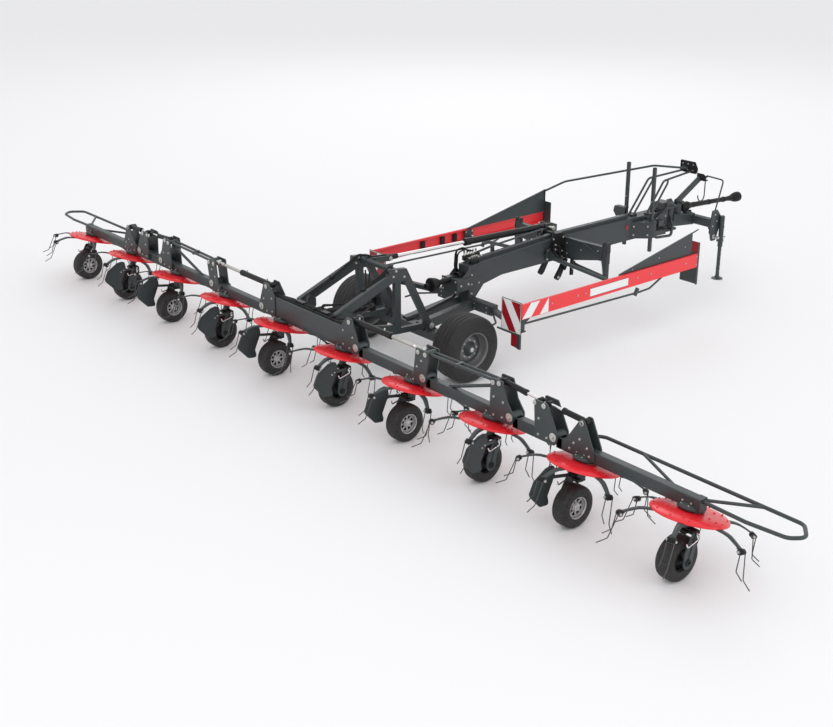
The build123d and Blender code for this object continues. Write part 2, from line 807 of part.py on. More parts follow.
# Parking jack at the right end of the hitch
with BuildPart() as jack_tube:
    rod((jack_x, jack_y, 480), (jack_x, jack_y, 935), jack_radius + jack_wall, boss_sides)
    with BuildSketch(Plane.XY.offset(480)) as bore:
        with Locations((jack_x, jack_y)):
            RegularPolygon(jack_radius + clear, boss_sides, major_radius=False)
    extrude(bore.sketch, amount=435, mode=Mode.SUBTRACT)
write(jack_tube.part, "jack_tube")
with BuildPart() as jack_leg:
    rod((jack_x, jack_y, 10), (jack_x, jack_y, 570), jack_radius, boss_sides)
    rod((jack_x, jack_y, 0), (jack_x, jack_y, 14), 95, boss_sides)
write(jack_leg.part, "jack_leg")

# Drive shaft stub for the tractor, with its guard cones
with BuildPart() as pto_shaft:
    rod((0, hitch_y - 260, pto_z + 60), (0, hitch_y - 60, pto_z + 60), 62)
    rod((0, hitch_y - 80, pto_z + 55), (0, pto_front_y - 140, pto_z), 38)
    rod((0, pto_front_y - 150, pto_z), (0, pto_front_y, pto_z), 56)
    with BuildSketch(Plane((0, pto_front_y, pto_z), z_dir=(0, 1, 0))) as bore:
        Circle(17.5)
    extrude(bore.sketch, amount=-80, mode=Mode.SUBTRACT)
write(pto_shaft.part, "pto_shaft")

# Main wheels: turned forms with flat sides
with BuildPart() as tyre_form:
    for side in (-1, 1):
        half = Plane.YZ if side > 0 else Plane.YZ.rotated((0, 0, 180))
        frustum(half, main_sides, main_radius, main_radius, main_width * 0.34)
        frustum(half.offset(main_width * 0.34), main_sides, main_radius, main_radius * 0.88, main_width * 0.14)
        frustum(half.offset(main_width * 0.48), main_sides, main_radius * 0.88, main_radius * 0.6, main_width * 0.02)
    with BuildSketch(Plane.YZ.offset(-main_width / 2)) as seat_bore:
        RegularPolygon(main_rim_radius + seat, main_sides, major_radius=False)
    extrude(seat_bore.sketch, amount=main_width, mode=Mode.SUBTRACT)
with BuildPart() as rim_form:
    for side in (-1, 1):
        half = Plane.YZ if side > 0 else Plane.YZ.rotated((0, 0, 180))
        frustum(half, main_sides, main_rim_radius, main_rim_radius, main_width * 0.44)
        frustum(
            half.offset(main_width * 0.12),
            main_sides,
            main_rim_radius - 60,
            main_rim_radius - 14,
            main_width * 0.32,
            mode=Mode.SUBTRACT,
        )
        cross_pin(0, side * main_width * 0.24, 0, 0, 80, boss_sides)
    cross_bore(-main_width, main_width, 0, 0, 34, boss_sides)
for side, hand in ((-1, "left"), (1, "right")):
    wheel_place = Location((side * main_track, axle_y, axle_z))
    with BuildPart() as main_tyre:
        with Locations(wheel_place):
            add(tyre_form.part)
    write(main_tyre.part, f"main_tyre_{hand}")
    with BuildPart() as main_rim:
        with Locations(wheel_place):
            add(rim_form.part)
    write(main_rim.part, f"main_rim_{hand}")

# Side guards with the warning boards at their rear ends
with BuildPart() as guard:
    side_plate(
        [
            (guard_rear_y, guard_low),
            (guard_rear_y, guard_high),
            (guard_front_y, guard_high),
            (guard_front_y, guard_low),
        ],
        guard_x,
        guard_bar_thick,
    )
    row_plate(
        [
            (guard_x + 10, 560),
            (guard_x + 10, 950),
            (guard_x - 320, 950),
            (guard_x - 320, 560),
        ],
        guard_rear_y,
        guard_board_thick,
    )
    row_plate(
        [
            (guard_x + 10, 380),
            (guard_x + 10, 570),
            (guard_x - 150, 570),
            (guard_x - 150, 400),
        ],
        guard_rear_y,
        guard_board_thick,
    )
    row_plate(
        [
            (guard_x + 10, 510),
            (guard_x + 10, 1070),
            (guard_x - 270, 1070),
            (guard_x - 270, 510),
        ],
        guard_front_y,
        guard_board_thick,
    )
    bent_rod(
        [
            (guard_x + 2, guard_rear_y, 700),
            (guard_x - 4, guard_rear_y + 2050, 640),
            (guard_x, guard_rear_y + 2250, 650),
            (guard_x, guard_rear_y + 2500, 770),
        ],
        14,
    )
with BuildPart() as guard_sheet:
    side_plate(
        [
            (guard_front_y - 1520, guard_high - 10),
            (guard_front_y - 1520, guard_high + 4),
            (guard_sheet_end_y, guard_peak),
            (guard_sheet_end_y, guard_high - 10),
        ],
        guard_sheet_x,
        guard_sheet_thick,
    )
for hand in ("left", "right"):
    for name, form in (("side_guard", guard.part), ("guard_sheet", guard_sheet.part)):
        with BuildPart() as guard_piece:
            add(form if hand == "right" else form.mirror(Plane.YZ))
        write(guard_piece.part, f"{name}_{hand}")

# Front arms that carry the side guards
arm_base_y = row_y + 3860
with BuildPart() as guard_arms:
    for side in (-1, 1):
        with Locations((side * (drawbar_width / 2 + 20), arm_base_y, 900)):
            Box(40, 200, 170)
        box_rod(
            (side * (drawbar_width / 2 + 20), arm_base_y, 900),
            (side * (guard_inner - 16), arm_base_y - 100, 860),
            60,
            80,
            side=(0, 1, 0),
        )
        with Locations((side * (guard_inner - 12), arm_base_y - 100, (guard_low + guard_high) / 2)):
            Box(24, 160, guard_high - guard_low - 30)
write(guard_arms.part, "guard_arms")

# Stakes that steady the folded wings
with BuildPart() as stow_posts:
    for side in (-1, 1):
        with Locations((side * post_x, post_y, (post_top + post_low) / 2)):
            Box(post_size, post_size, post_top - post_low)
write(stow_posts.part, "stow_posts")

# Tube rails over the front of the drawbar
rail_plate_z = 1580
rail_radius = 15
rail_foot = 12
rail_pair = 62
with BuildPart() as front_rails:
    bent_rod(
        [
            (-guard_sheet_x + guard_sheet_thick / 2 + seat + rail_radius, guard_front_y - 30, guard_peak - 20),
            (-guard_x + 150, guard_front_y + 260, 1340),
            (-250, row_y + 6250, 1640),
            (0, row_y + 6692, rail_plate_z),
        ],
        rail_radius,
    )
    for x, foot_y, top_y, top_z in (
        (-66, row_y + 5560, row_y + 5930, 1540),
        (66, row_y + 5780, row_y + 6100, 1500),
    ):
        foot_z = drawbar_high + rail_foot
        bent_rod(
            [(x, foot_y, foot_z), (x, top_y, top_z), (x, row_y + 6700, rail_plate_z - 30)],
            rail_radius,
        )
        rod((x, foot_y + rail_pair, foot_z), (x, top_y + rail_pair, top_z), rail_radius)
        with Locations((x, foot_y + rail_pair / 2, drawbar_high + rail_foot / 2 + 4)):
            Box(48, rail_pair + 70, rail_foot + 8)
    with Locations((20, row_y + 6700, rail_plate_z + 22)):
        Box(300, 30, 165)
write(front_rails.part, "front_rails")

# Drive line between the drawbar and the row
with BuildPart() as rear_shaft:
    rod((0, drawbar_rear_y, 860), (0, drawbar_rear_y - 120, 860), 66)
    rod((0, drawbar_rear_y - 100, 860), (0, drawbar_rear_y - 620, 850), 36)
write(rear_shaft.part, "rear_shaft")
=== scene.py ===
import json
import math

import bmesh
import bpy
from mathutils import Matrix, Vector


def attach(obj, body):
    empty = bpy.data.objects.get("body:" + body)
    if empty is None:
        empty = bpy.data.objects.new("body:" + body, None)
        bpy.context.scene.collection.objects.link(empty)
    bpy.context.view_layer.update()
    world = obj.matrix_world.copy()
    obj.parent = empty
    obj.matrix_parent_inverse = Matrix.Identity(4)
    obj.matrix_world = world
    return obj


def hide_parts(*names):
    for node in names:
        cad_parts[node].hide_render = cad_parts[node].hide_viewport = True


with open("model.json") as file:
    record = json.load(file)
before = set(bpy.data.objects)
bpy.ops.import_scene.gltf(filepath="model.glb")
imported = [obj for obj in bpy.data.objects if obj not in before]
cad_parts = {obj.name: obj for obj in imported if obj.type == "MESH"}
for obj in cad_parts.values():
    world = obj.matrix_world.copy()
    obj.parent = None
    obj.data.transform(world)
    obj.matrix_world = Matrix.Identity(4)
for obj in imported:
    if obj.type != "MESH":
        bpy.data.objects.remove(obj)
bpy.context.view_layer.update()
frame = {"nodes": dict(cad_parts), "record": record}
print("frame loaded:", len(frame["nodes"]), "nodes")

# Places that the part's source also names, in metres
rowY = -3.6293  # line of the rotor wheels
beamY = rowY + 0.130
rotorY = rowY + 0.131
rotorZ = 0.588
rotorPitch = 1.2
rotorNumbers = range(1, 11)  # from the left end; 6 to 10 stand on the right
rotorTilt = math.radians(15.3)
hingeZ = 0.755
lugZ = 1.022
wingHingeX, middleHingeX, linkHingeX, outerHingeX = 0.910, 2.030, 3.300, 3.875
wingLugX = 0.800  # base pin of a wing cylinder
axleY = rowY + 1.600

# Directions: X to the right, Y forward to the tractor, Z up
alongX, alongY, alongZ = Vector((1, 0, 0)), Vector((0, 1, 0)), Vector((0, 0, 1))
mirrorX = Matrix.Scale(-1, 4, alongX)
bothHands = (("right", None), ("left", mirrorX))  # the left piece is the right one, mirrored


def rotorX(number):
    return (number - 5.5) * rotorPitch


camera = {
    "place": (11.15, -7.675 + rowY, 5.679),
    "yaw": 50.0276,
    "pitch": 21.7217,
    "lens": 54.945,
    "sensor": 36,
}


def setCamera():
    data = bpy.data.cameras.new("photoView")
    data.lens = camera["lens"]
    data.sensor_width = camera["sensor"]
    data.clip_end = 300
    view = bpy.data.objects.new("photoView", data)
    bpy.context.scene.collection.objects.link(view)
    view.location = camera["place"]
    view.rotation_euler = (math.radians(90 - camera["pitch"]), 0, math.radians(camera["yaw"]))
    bpy.context.scene.camera = view


setCamera()

studio = {
    "floorColour": (0.86, 0.86, 0.875, 1),
    "skyColour": (1.0, 1.0, 1.0, 1),
    "skyStrength": 0.93,
    "floorSpan": 400,
    "lights": (
        # name, place, aim, size, watts
        ("keyLight", (10, -17, 16), (0, -1, 0.5), 12, 760),
        ("fillLight", (18, 6, 10), (2, -1, 0.5), 12, 420),
        ("backLight", (-14, 12, 14), (-1, -1, 0.5), 12, 560),
    ),
}


def buildStudio():
    world = bpy.data.worlds.new("studioSky")
    world.use_nodes = True
    backdrop = world.node_tree.nodes["Background"]
    backdrop.inputs["Color"].default_value = studio["skyColour"]
    backdrop.inputs["Strength"].default_value = studio["skyStrength"]
    bpy.context.scene.world = world
    for name, place, aim, size, watts in studio["lights"]:
        data = bpy.data.lights.new(name, "AREA")
        data.size = size
        data.energy = watts
        lamp = bpy.data.objects.new(name, data)
        bpy.context.scene.collection.objects.link(lamp)
        lamp.location = place
        lamp.rotation_euler = (Vector(aim) - Vector(place)).to_track_quat("-Z", "Y").to_euler()
    half = studio["floorSpan"] / 2
    mesh = bpy.data.meshes.new("studioFloor")
    corners = [(-half, -half, -0.001), (half, -half, -0.001), (half, half, -0.001), (-half, half, -0.001)]
    mesh.from_pydata(corners, [], [(0, 1, 2, 3)])
    floor = bpy.data.objects.new("studioFloor", mesh)
    bpy.context.scene.collection.objects.link(floor)
    paint = bpy.data.materials.new("paleFloor")
    paint.use_nodes = True
    shader = paint.node_tree.nodes["Principled BSDF"]
    shader.inputs["Base Color"].default_value = studio["floorColour"]
    shader.inputs["Roughness"].default_value = 0.85
    mesh.materials.append(paint)
    bpy.context.scene.view_settings.view_transform = "Standard"


buildStudio()
print("studio ready")


# Finishes
def newGroup(name, inputs, outputs):
    group = bpy.data.node_groups.new(name, "ShaderNodeTree")
    for label, kind, value in inputs:
        group.interface.new_socket(name=label, in_out="INPUT", socket_type=kind).default_value = value
    for label, kind in outputs:
        group.interface.new_socket(name=label, in_out="OUTPUT", socket_type=kind)
    return group, group.nodes.new("NodeGroupInput").outputs, group.nodes.new("NodeGroupOutput").inputs


def wire(tree, kind, feeds, **settings):
    # A node with its settings; feeds names or numbers its inputs
    node = tree.nodes.new(kind)
    for label, value in settings.items():
        setattr(node, label, value)
    for socket, value in feeds.items():
        if isinstance(value, bpy.types.NodeSocket):
            tree.links.new(value, node.inputs[socket])
        else:
            node.inputs[socket].default_value = value
    return node


def makeCoatGroup():
    # Worked paint: cloudy tone, fine grain, and dust that thickens towards the ground
    group, given, result = newGroup(
        "workedCoat",
        (
            ("Paint", "NodeSocketColor", (0.05, 0.05, 0.05, 1)),
            ("Dust", "NodeSocketColor", (0.30, 0.27, 0.22, 1)),
            ("Cloud", "NodeSocketFloat", 0.12),
            ("Dusting", "NodeSocketFloat", 0.12),
            ("Gloss", "NodeSocketFloat", 0.38),
            ("Grain", "NodeSocketFloat", 120.0),
        ),
        (("Colour", "NodeSocketColor"), ("Roughness", "NodeSocketFloat"), ("Height", "NodeSocketFloat")),
    )
    place = wire(group, "ShaderNodeTexCoord", {}).outputs["Object"]
    cloud = wire(group, "ShaderNodeTexNoise", {"Vector": place, "Scale": 2.3, "Detail": 5.0})
    speck = wire(
        group, "ShaderNodeTexNoise", {"Vector": place, "Scale": 34.0, "Detail": 6.0, "Roughness": 0.7},
    )
    fine = wire(group, "ShaderNodeTexNoise", {"Vector": place, "Scale": given["Grain"], "Detail": 3.0})
    tone = wire(
        group, "ShaderNodeMapRange", {"Value": cloud.outputs["Fac"], "From Min": 0.3, "From Max": 0.7},
    )
    fade = wire(group, "ShaderNodeMath", {0: tone.outputs[0], 1: given["Cloud"]}, operation="MULTIPLY")
    level = wire(group, "ShaderNodeMath", {0: 1.06, 1: fade.outputs[0]}, operation="SUBTRACT").outputs[0]
    grey = wire(group, "ShaderNodeCombineColor", {0: level, 1: level, 2: level})
    # a colour mix takes its share at input 0 and its colours at 6 and 7, and gives colour at output 2
    toned = wire(
        group, "ShaderNodeMix", {0: 1.0, 6: given["Paint"], 7: grey.outputs[0]},
        data_type="RGBA", blend_type="MULTIPLY",
    )
    height = wire(group, "ShaderNodeSeparateXYZ", {0: place}).outputs["Z"]
    low = wire(group, "ShaderNodeMapRange", {"Value": height, "From Min": 0.9, "From Max": 0.1})
    patch = wire(
        group, "ShaderNodeMapRange", {"Value": speck.outputs["Fac"], "From Min": 0.46, "From Max": 0.74},
    )
    settled = wire(group, "ShaderNodeMath", {0: low.outputs[0], 1: 0.75, 2: 0.25}, operation="MULTIPLY_ADD")
    veil = wire(group, "ShaderNodeMath", {0: patch.outputs[0], 1: settled.outputs[0]}, operation="MULTIPLY")
    amount = wire(group, "ShaderNodeMath", {0: veil.outputs[0], 1: given["Dusting"]}, operation="MULTIPLY")
    dusty = wire(
        group, "ShaderNodeMix", {0: amount.outputs[0], 6: toned.outputs[2], 7: given["Dust"]},
        data_type="RGBA",
    )
    rough = wire(
        group, "ShaderNodeMath", {0: veil.outputs[0], 1: 0.3, 2: given["Gloss"]}, operation="MULTIPLY_ADD",
    )
    group.links.new(dusty.outputs[2], result["Colour"])
    group.links.new(rough.outputs[0], result["Roughness"])
    group.links.new(fine.outputs[0], result["Height"])
    return group


coatGroup = makeCoatGroup()


def coatFinish(
    name, paint, gloss=0.38, dusting=0.12, cloud=0.12, grain=120.0, peel=0.05, metal=0.0, coat=0.0,
    shine=0.5,
):
    finish = bpy.data.materials.new(name)
    finish.use_nodes = True
    tree = finish.node_tree
    shader = tree.nodes["Principled BSDF"]
    worn = tree.nodes.new("ShaderNodeGroup")
    worn.node_tree = coatGroup
    worn.inputs["Paint"].default_value = (*paint, 1)
    for label, value in (("Gloss", gloss), ("Dusting", dusting), ("Cloud", cloud), ("Grain", grain)):
        worn.inputs[label].default_value = value
    bump = wire(
        tree, "ShaderNodeBump", {"Strength": peel, "Distance": 0.002, "Height": worn.outputs["Height"]},
    )
    tree.links.new(worn.outputs["Colour"], shader.inputs["Base Color"])
    tree.links.new(worn.outputs["Roughness"], shader.inputs["Roughness"])
    tree.links.new(bump.outputs["Normal"], shader.inputs["Normal"])
    shader.inputs["Metallic"].default_value = metal
    shader.inputs["Coat Weight"].default_value = coat
    shader.inputs["Specular IOR Level"].default_value = shine
    return finish


finishes = {
    "frame": coatFinish(
        "anthracitePaint", (0.036, 0.045, 0.048), gloss=0.42, dusting=0.07, coat=0.08, shine=0.42,
    ),
    "hinge": coatFinish(
        "blackHingePaint", (0.012, 0.013, 0.014), gloss=0.34, dusting=0.025, coat=0.0, shine=0.22,
    ),
    "red": coatFinish(
        "glossRedPaint", (0.74, 0.010, 0.020), gloss=0.30, dusting=0.012, cloud=0.05, coat=0.15,
    ),
    "guardRed": coatFinish(
        "guardRedPaint", (0.80, 0.030, 0.038), gloss=0.40, dusting=0.02, cloud=0.06, coat=0.1,
    ),
    "darkRed": coatFinish("darkReflectorRed", (0.30, 0.006, 0.014), gloss=0.3, dusting=0.05),
    "signWhite": coatFinish("reflectorWhite", (0.80, 0.80, 0.81), gloss=0.35, dusting=0.06, cloud=0.05),
    "chrome": coatFinish(
        "hardChrome", (0.72, 0.72, 0.73), gloss=0.14, dusting=0.03, cloud=0.04, peel=0.01, metal=1.0,
    ),
    "zinc": coatFinish(
        "zincPlate", (0.56, 0.56, 0.53), gloss=0.34, dusting=0.10, cloud=0.2, grain=260.0, metal=0.85,
    ),
    "rim": coatFinish("rimSilverPaint", (0.50, 0.50, 0.51), gloss=0.30, dusting=0.14, cloud=0.1, metal=0.6),
    "wheelGrey": coatFinish(
        "wheelGreyPaint", (0.15, 0.152, 0.158), gloss=0.36, dusting=0.12, cloud=0.1, metal=0.35,
    ),
    "tine": coatFinish(
        "springSteel", (0.075, 0.075, 0.075), gloss=0.36, dusting=0.10, cloud=0.3, metal=0.5,
    ),
    "rubber": coatFinish(
        "tyreRubber", (0.020, 0.020, 0.021), gloss=0.62, dusting=0.16, cloud=0.2, grain=420.0, peel=0.12,
        shine=0.35,
    ),
    "plastic": coatFinish(
        "blackPlastic", (0.008, 0.008, 0.009), gloss=0.42, dusting=0.02, peel=0.05, shine=0.22,
    ),
    "hose": coatFinish(
        "hoseRubber", (0.008, 0.008, 0.009), gloss=0.48, dusting=0.03, grain=600.0, peel=0.08, shine=0.25,
    ),
}
slotFinish = {
    "frame_paint": "frame",
    "hinge_paint": "hinge",
    "red_paint": "red",
    "bright_steel": "chrome",
    "rim_silver": "rim",
    "tyre_rubber": "rubber",
    "guard_plastic": "plastic",
}
nodeSlot = {entry["node"]: entry["material_slot"] for entry in frame["record"]["subparts"]}
nodeBody = {
    node: body for body, members in frame["record"]["behaviour"]["bodies"].items() for node in members
}


def softenEdges(piece, width, angle=38):
    bevel = piece.modifiers.new("softEdge", "BEVEL")
    bevel.width = width
    bevel.segments = 2
    bevel.limit_method = "ANGLE"
    bevel.angle_limit = math.radians(angle)
    piece.modifiers.new("evenShade", "WEIGHTED_NORMAL").keep_sharp = True


def dressCadNodes():
    for name, node in frame["nodes"].items():
        node.data.materials.clear()
        node.data.materials.append(finishes[slotFinish[nodeSlot[name]]])
        node.data.shade_smooth()
        softenEdges(node, 0.003)


dressCadNodes()
print("finishes ready:", len(finishes))


# Shape tools
def rounded(points, radius, steps=3, closed=True):
    # Corners of an outline or a path turned to arcs
    made = []
    count = len(points)
    for spot, corner in enumerate(points):
        corner = Vector(corner)
        if not closed and spot in (0, count - 1):
            made.append(corner)
            continue
        arrive = corner - Vector(points[spot - 1])
        leave = Vector(points[(spot + 1) % count]) - corner
        bend = arrive.angle(leave)
        if bend < 0.02 or radius <= 0:
            made.append(corner)
            continue
        reach = min(radius * math.tan(bend / 2), arrive.length * 0.45, leave.length * 0.45)
        start = corner - arrive.normalized() * reach
        end = corner + leave.normalized() * reach
        for step in range(steps + 1):
            part = step / steps
            made.append(start.lerp(corner, part).lerp(corner.lerp(end, part), part))
    return made


def acrossAxis(axis, hint=None):
    # Two directions at right angles to an axis
    axis = Vector(axis).normalized()
    hint = Vector(hint) if hint else (alongZ if abs(axis.z) < 0.9 else alongX)
    first = (hint - axis * axis.dot(hint)).normalized()
    return first, axis.cross(first), axis


class Shaper:
    # Builds one piece out of lofts, plates, tubes, turned forms and bolts
    def __init__(self, name, finish, base=None):
        self.name = name
        self.form = bmesh.new()
        self.used = []
        self.base = base or Matrix.Identity(4)
        self.turn = self.base
        self.paint(finish)

    def paint(self, finish):
        if finish not in self.used:
            self.used.append(finish)
        self.index = self.used.index(finish)

    def within(self, matrix=None):
        self.turn = self.base @ matrix if matrix else self.base

    def face(self, corners):
        made = self.form.faces.new(corners)
        made.material_index = self.index
        made.smooth = True

    def loft(self, rings, closed=False):
        rows = [[self.form.verts.new(self.turn @ Vector(place)) for place in ring] for ring in rings]
        pairs = list(zip(rows, rows[1:])) + ([(rows[-1], rows[0])] if closed else [])
        for low, high in pairs:
            for spot in range(len(low)):
                after = (spot + 1) % len(low)
                self.face((low[spot], low[after], high[after], high[spot]))
        if not closed:
            self.face(rows[0][::-1])
            self.face(rows[-1])

    def slab(self, outline, origin, across, up, thick, corner=0.0):
        # A flat plate, centred on its thickness
        flat = [Vector(origin) + across * spot[0] + up * spot[1] for spot in rounded(outline, corner)]
        away = across.cross(up).normalized() * thick / 2
        self.loft([[place - away for place in flat], [place + away for place in flat]])

    def sidePlate(self, outline, x, thick, corner=0.012):
        self.slab(outline, (x, 0, 0), alongY, alongZ, thick, corner)

    def rowPlate(self, outline, y, thick, corner=0.012):
        self.slab(outline, (0, y, 0), alongX, alongZ, thick, corner)

    def framePlate(self, outline, x, thick, corner=0.012):
        # A side plate whose outline counts from the row of wheels
        self.sidePlate([(rowY + y, z) for y, z in outline], x, thick, corner)

    def crossPlate(self, outline, y, thick, corner=0.012):
        # A plate across the machine, y counted from the row of wheels
        self.rowPlate(outline, rowY + y, thick, corner)

    def bar(self, start, end, width, height, side=alongX, corner=0.0):
        # A straight box tube; width lies along side
        start, end = Vector(start), Vector(end)
        first, second = acrossAxis(end - start, side)[:2]
        half, tall = width / 2, height / 2
        section = rounded([(-half, -tall), (half, -tall), (half, tall), (-half, tall)], corner)
        self.loft([
            [place + first * spot[0] + second * spot[1] for spot in section] for place in (start, end)
        ])

    def tube(self, points, radius, sides=12, bend=0.0, steps=4):
        path = rounded(points, bend, steps, closed=False)
        first = acrossAxis(path[1] - path[0])[0]
        angles = [2 * math.pi * turn / sides for turn in range(sides)]
        rings = []
        for spot, place in enumerate(path):
            before = (place - path[spot - 1]).normalized() if spot else None
            after = (path[spot + 1] - place).normalized() if spot < len(path) - 1 else before
            heading = ((before or after) + after).normalized()
            first = (first - heading * first.dot(heading)).normalized()
            second = heading.cross(first)
            rings.append([place + (first * math.cos(a) + second * math.sin(a)) * radius for a in angles])
        self.loft(rings)

    def turned(self, profile, base, axis, steps=28, closed=False):
        # Profile of (distance along the axis, radius)
        first, second, axis = acrossAxis(axis)
        angles = [2 * math.pi * turn / steps for turn in range(steps)]
        rings = [
            [
                Vector(base) + axis * far + (first * math.cos(a) + second * math.sin(a)) * radius
                for a in angles
            ]
            for far, radius in profile
        ]
        self.loft(rings, closed)

    def collar(self, base, axis, far, width, inner, outer, steps=32):
        # Ring round a shaft
        section = ((far, inner), (far, outer), (far + width, outer), (far + width, inner))
        self.turned(section, base, axis, steps, closed=True)

    def rod(self, base, axis, start, end, radius, steps=24):
        # Plain round bar from start to end along the axis
        self.turned(((start, radius), (end, radius)), base, axis, steps)

    def bolt(self, place, axis, size=0.010):
        # Washer and six-sided head
        self.turned(((0, size * 1.3), (size * 0.25, size * 1.3)), place, axis, 14)
        self.turned(((0, size), (size * 0.95, size), (size * 1.1, size * 0.8)), place, axis, 6)

    def bolts(self, places, axis, size=0.010, finish="zinc"):
        before = self.used[self.index]
        self.paint(finish)
        for place in places:
            self.bolt(place, axis, size)
        self.paint(before)

    def pinEnds(self, x, z, yLow, yHigh, radius, finish="zinc"):
        # Both heads of a pin that lies along Y
        before = self.used[self.index]
        self.paint(finish)
        for y, way in ((yLow, -1), (yHigh, 1)):
            self.turned(((0, radius), (0.009, radius), (0.012, radius * 0.86)), (x, y, z), (0, way, 0), 24)
            self.bolt((x, y + way * 0.012, z), (0, way, 0), radius * 0.3)
        self.paint(before)

    def mesh(self):
        bmesh.ops.recalc_face_normals(self.form, faces=self.form.faces)
        made = bpy.data.meshes.new(self.name)
        self.form.to_mesh(made)
        self.form.free()
        for finish in self.used:
            made.materials.append(finishes[finish])
        return made

    def place(self, node=None, body=None, edge=0.002):
        return placeMesh(self.name, self.mesh(), node, body, edge)


def placeMesh(name, mesh, node=None, body=None, edge=0.002):
    piece = bpy.data.objects.new(name, mesh)
    bpy.context.scene.collection.objects.link(piece)
    if edge:
        softenEdges(piece, edge)
    if node:
        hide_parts(node)
    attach(piece, body or nodeBody[node])
    return piece


# Rotors
rotorShape = {
    "plate": (
        # height, radius
        (0.0225, 0.046), (0.0235, 0.110), (0.0235, 0.180), (0.0205, 0.245), (0.0125, 0.296), (0.0010, 0.330),
        (-0.0080, 0.342), (-0.0150, 0.345), (-0.0220, 0.343), (-0.0220, 0.338), (-0.0140, 0.338),
        (-0.0060, 0.330), (0.0060, 0.296), (0.0150, 0.243), (0.0180, 0.180), (0.0180, 0.046),
    ),
    "arms": 6,
    "armSections": (
        # radius, height, width, thickness
        (0.130, -0.012, 0.056, 0.012),
        (0.290, -0.026, 0.056, 0.013),
        (0.400, -0.029, 0.050, 0.014),
        (0.445, -0.036, 0.047, 0.014),
        (0.500, -0.057, 0.042, 0.014),
        (0.560, -0.084, 0.036, 0.014),
        (0.598, -0.101, 0.030, 0.013),
    ),
    "coilCentre": (0.590, -0.112),
    "coilRadius": 0.0185,
    "coilTurns": 3,
    "coilSide": (0.0065, 0.031),  # distance of the coil's two ends from the arm's middle
    "tineSide": 0.033,
    "leaving": 12,  # degrees, where the leg leaves the coil
    "wire": 0.0048,
    "tines": (
        # side, elbow radius, elbow drop, foot radius, foot drop
        (1, 0.655, 0.330, 0.7405, 0.385),
        (-1, 0.615, 0.268, 0.690, 0.318),
    ),
    "phases": (35, 55),  # odd and even rotors
    "rimBolts": 12,
    "rimBoltCircle": 0.312,
    "armBolts": ((0.210, 0, 0.0225), (0.282, 0, 0.015)),
}


def rotorFrame(x, phase=0.0):
    # Place of a rotor, leaning forward by its tilt and turned by its phase in degrees
    turn = math.radians(phase)
    up = Vector((0, math.sin(rotorTilt), math.cos(rotorTilt)))
    first = Vector((
        math.cos(turn), math.sin(turn) * math.cos(rotorTilt), -math.sin(turn) * math.sin(rotorTilt),
    ))
    matrix = Matrix((first, up.cross(first), up)).transposed().to_4x4()
    matrix.translation = (x, rotorY, rotorZ)
    return matrix


def tinePath(side, elbowRadius, elbowDrop, footRadius, footDrop):
    # Coil round the bolt, leg down to the elbow, foot
    centreR, centreZ = rotorShape["coilCentre"]
    near, far = rotorShape["coilSide"]
    tineY = side * rotorShape["tineSide"]
    r = rotorShape["coilRadius"]
    perTurn = 13
    steps = rotorShape["coilTurns"] * perTurn
    points = []
    for step in range(steps + 1):
        left = steps - step
        angle = math.radians(rotorShape["leaving"]) + 2 * math.pi * left / perTurn
        y = side * (far - (far - near) * left / steps)
        points.append(Vector((centreR + r * math.cos(angle), y, centreZ + r * math.sin(angle))))
    legEnd = [points[-1], Vector((elbowRadius, tineY, -elbowDrop)), Vector((footRadius, tineY, -footDrop))]
    return points + rounded(legEnd, 0.022, 4, closed=False)[1:]


def buildRotorMesh():
    maker = Shaper("rotorPlateAndArms", "red")
    maker.turned(rotorShape["plate"], (0, 0, 0), alongZ, 72, closed=True)
    circle = rotorShape["rimBoltCircle"]
    for spot in range(rotorShape["rimBolts"]):
        angle = 2 * math.pi / rotorShape["rimBolts"] * spot + math.radians(10)
        place = (circle * math.cos(angle), circle * math.sin(angle), 0.007)
        maker.bolts([place], (math.cos(angle) * 0.3, math.sin(angle) * 0.3, 0.95), 0.0075, "red")
    centreR, centreZ = rotorShape["coilCentre"]
    for arm in range(rotorShape["arms"]):
        maker.within(Matrix.Rotation(2 * math.pi / rotorShape["arms"] * arm, 4, "Z"))
        maker.paint("frame")
        rings = []
        for radius, height, width, thick in rotorShape["armSections"]:
            half, tall = width / 2, thick / 2
            corners = ((-half, -tall), (half, -tall), (half, tall), (-half, tall))
            rings.append([(radius, y, height + z) for y, z in corners])
        maker.loft(rings)
        maker.bolts(rotorShape["armBolts"], alongZ, 0.008, "red")
        # holder over the two coils, with the bolt through them
        maker.paint("plastic")
        cap = [
            (centreR - 0.030, centreZ + 0.024), (centreR + 0.006, centreZ + 0.028),
            (centreR + 0.027, centreZ + 0.012), (centreR + 0.028, centreZ - 0.010),
            (centreR + 0.022, centreZ - 0.010), (centreR + 0.020, centreZ + 0.006),
            (centreR + 0.002, centreZ + 0.0225), (centreR - 0.028, centreZ + 0.018),
        ]
        maker.slab(cap, (0, 0, 0), alongX, alongZ, 0.064)
        maker.bar(
            (centreR - 0.02, 0, centreZ + 0.018), (centreR + 0.012, 0, centreZ - 0.020), 0.010, 0.034,
            side=alongY,
        )
        maker.paint("zinc")
        maker.rod((centreR, 0, centreZ), alongY, -0.037, 0.037, 0.0085, 12)
        for way in (-1, 1):
            maker.bolt((centreR, way * 0.036, centreZ), (0, way, 0), 0.0095)
        maker.paint("tine")
        for tine in rotorShape["tines"]:
            maker.tube(tinePath(*tine), rotorShape["wire"], 8)
    maker.within()
    return maker.mesh()


def buildRotors():
    shared = buildRotorMesh()
    for number in rotorNumbers:
        phase = rotorShape["phases"][(number + 1) % 2]
        placed = shared.copy()
        placed.transform(rotorFrame(rotorX(number), phase))
        placeMesh(f"tinedRotor.{number:02d}", placed, f"rotor_{number}", edge=0)


buildRotors()
print("rotors ready")

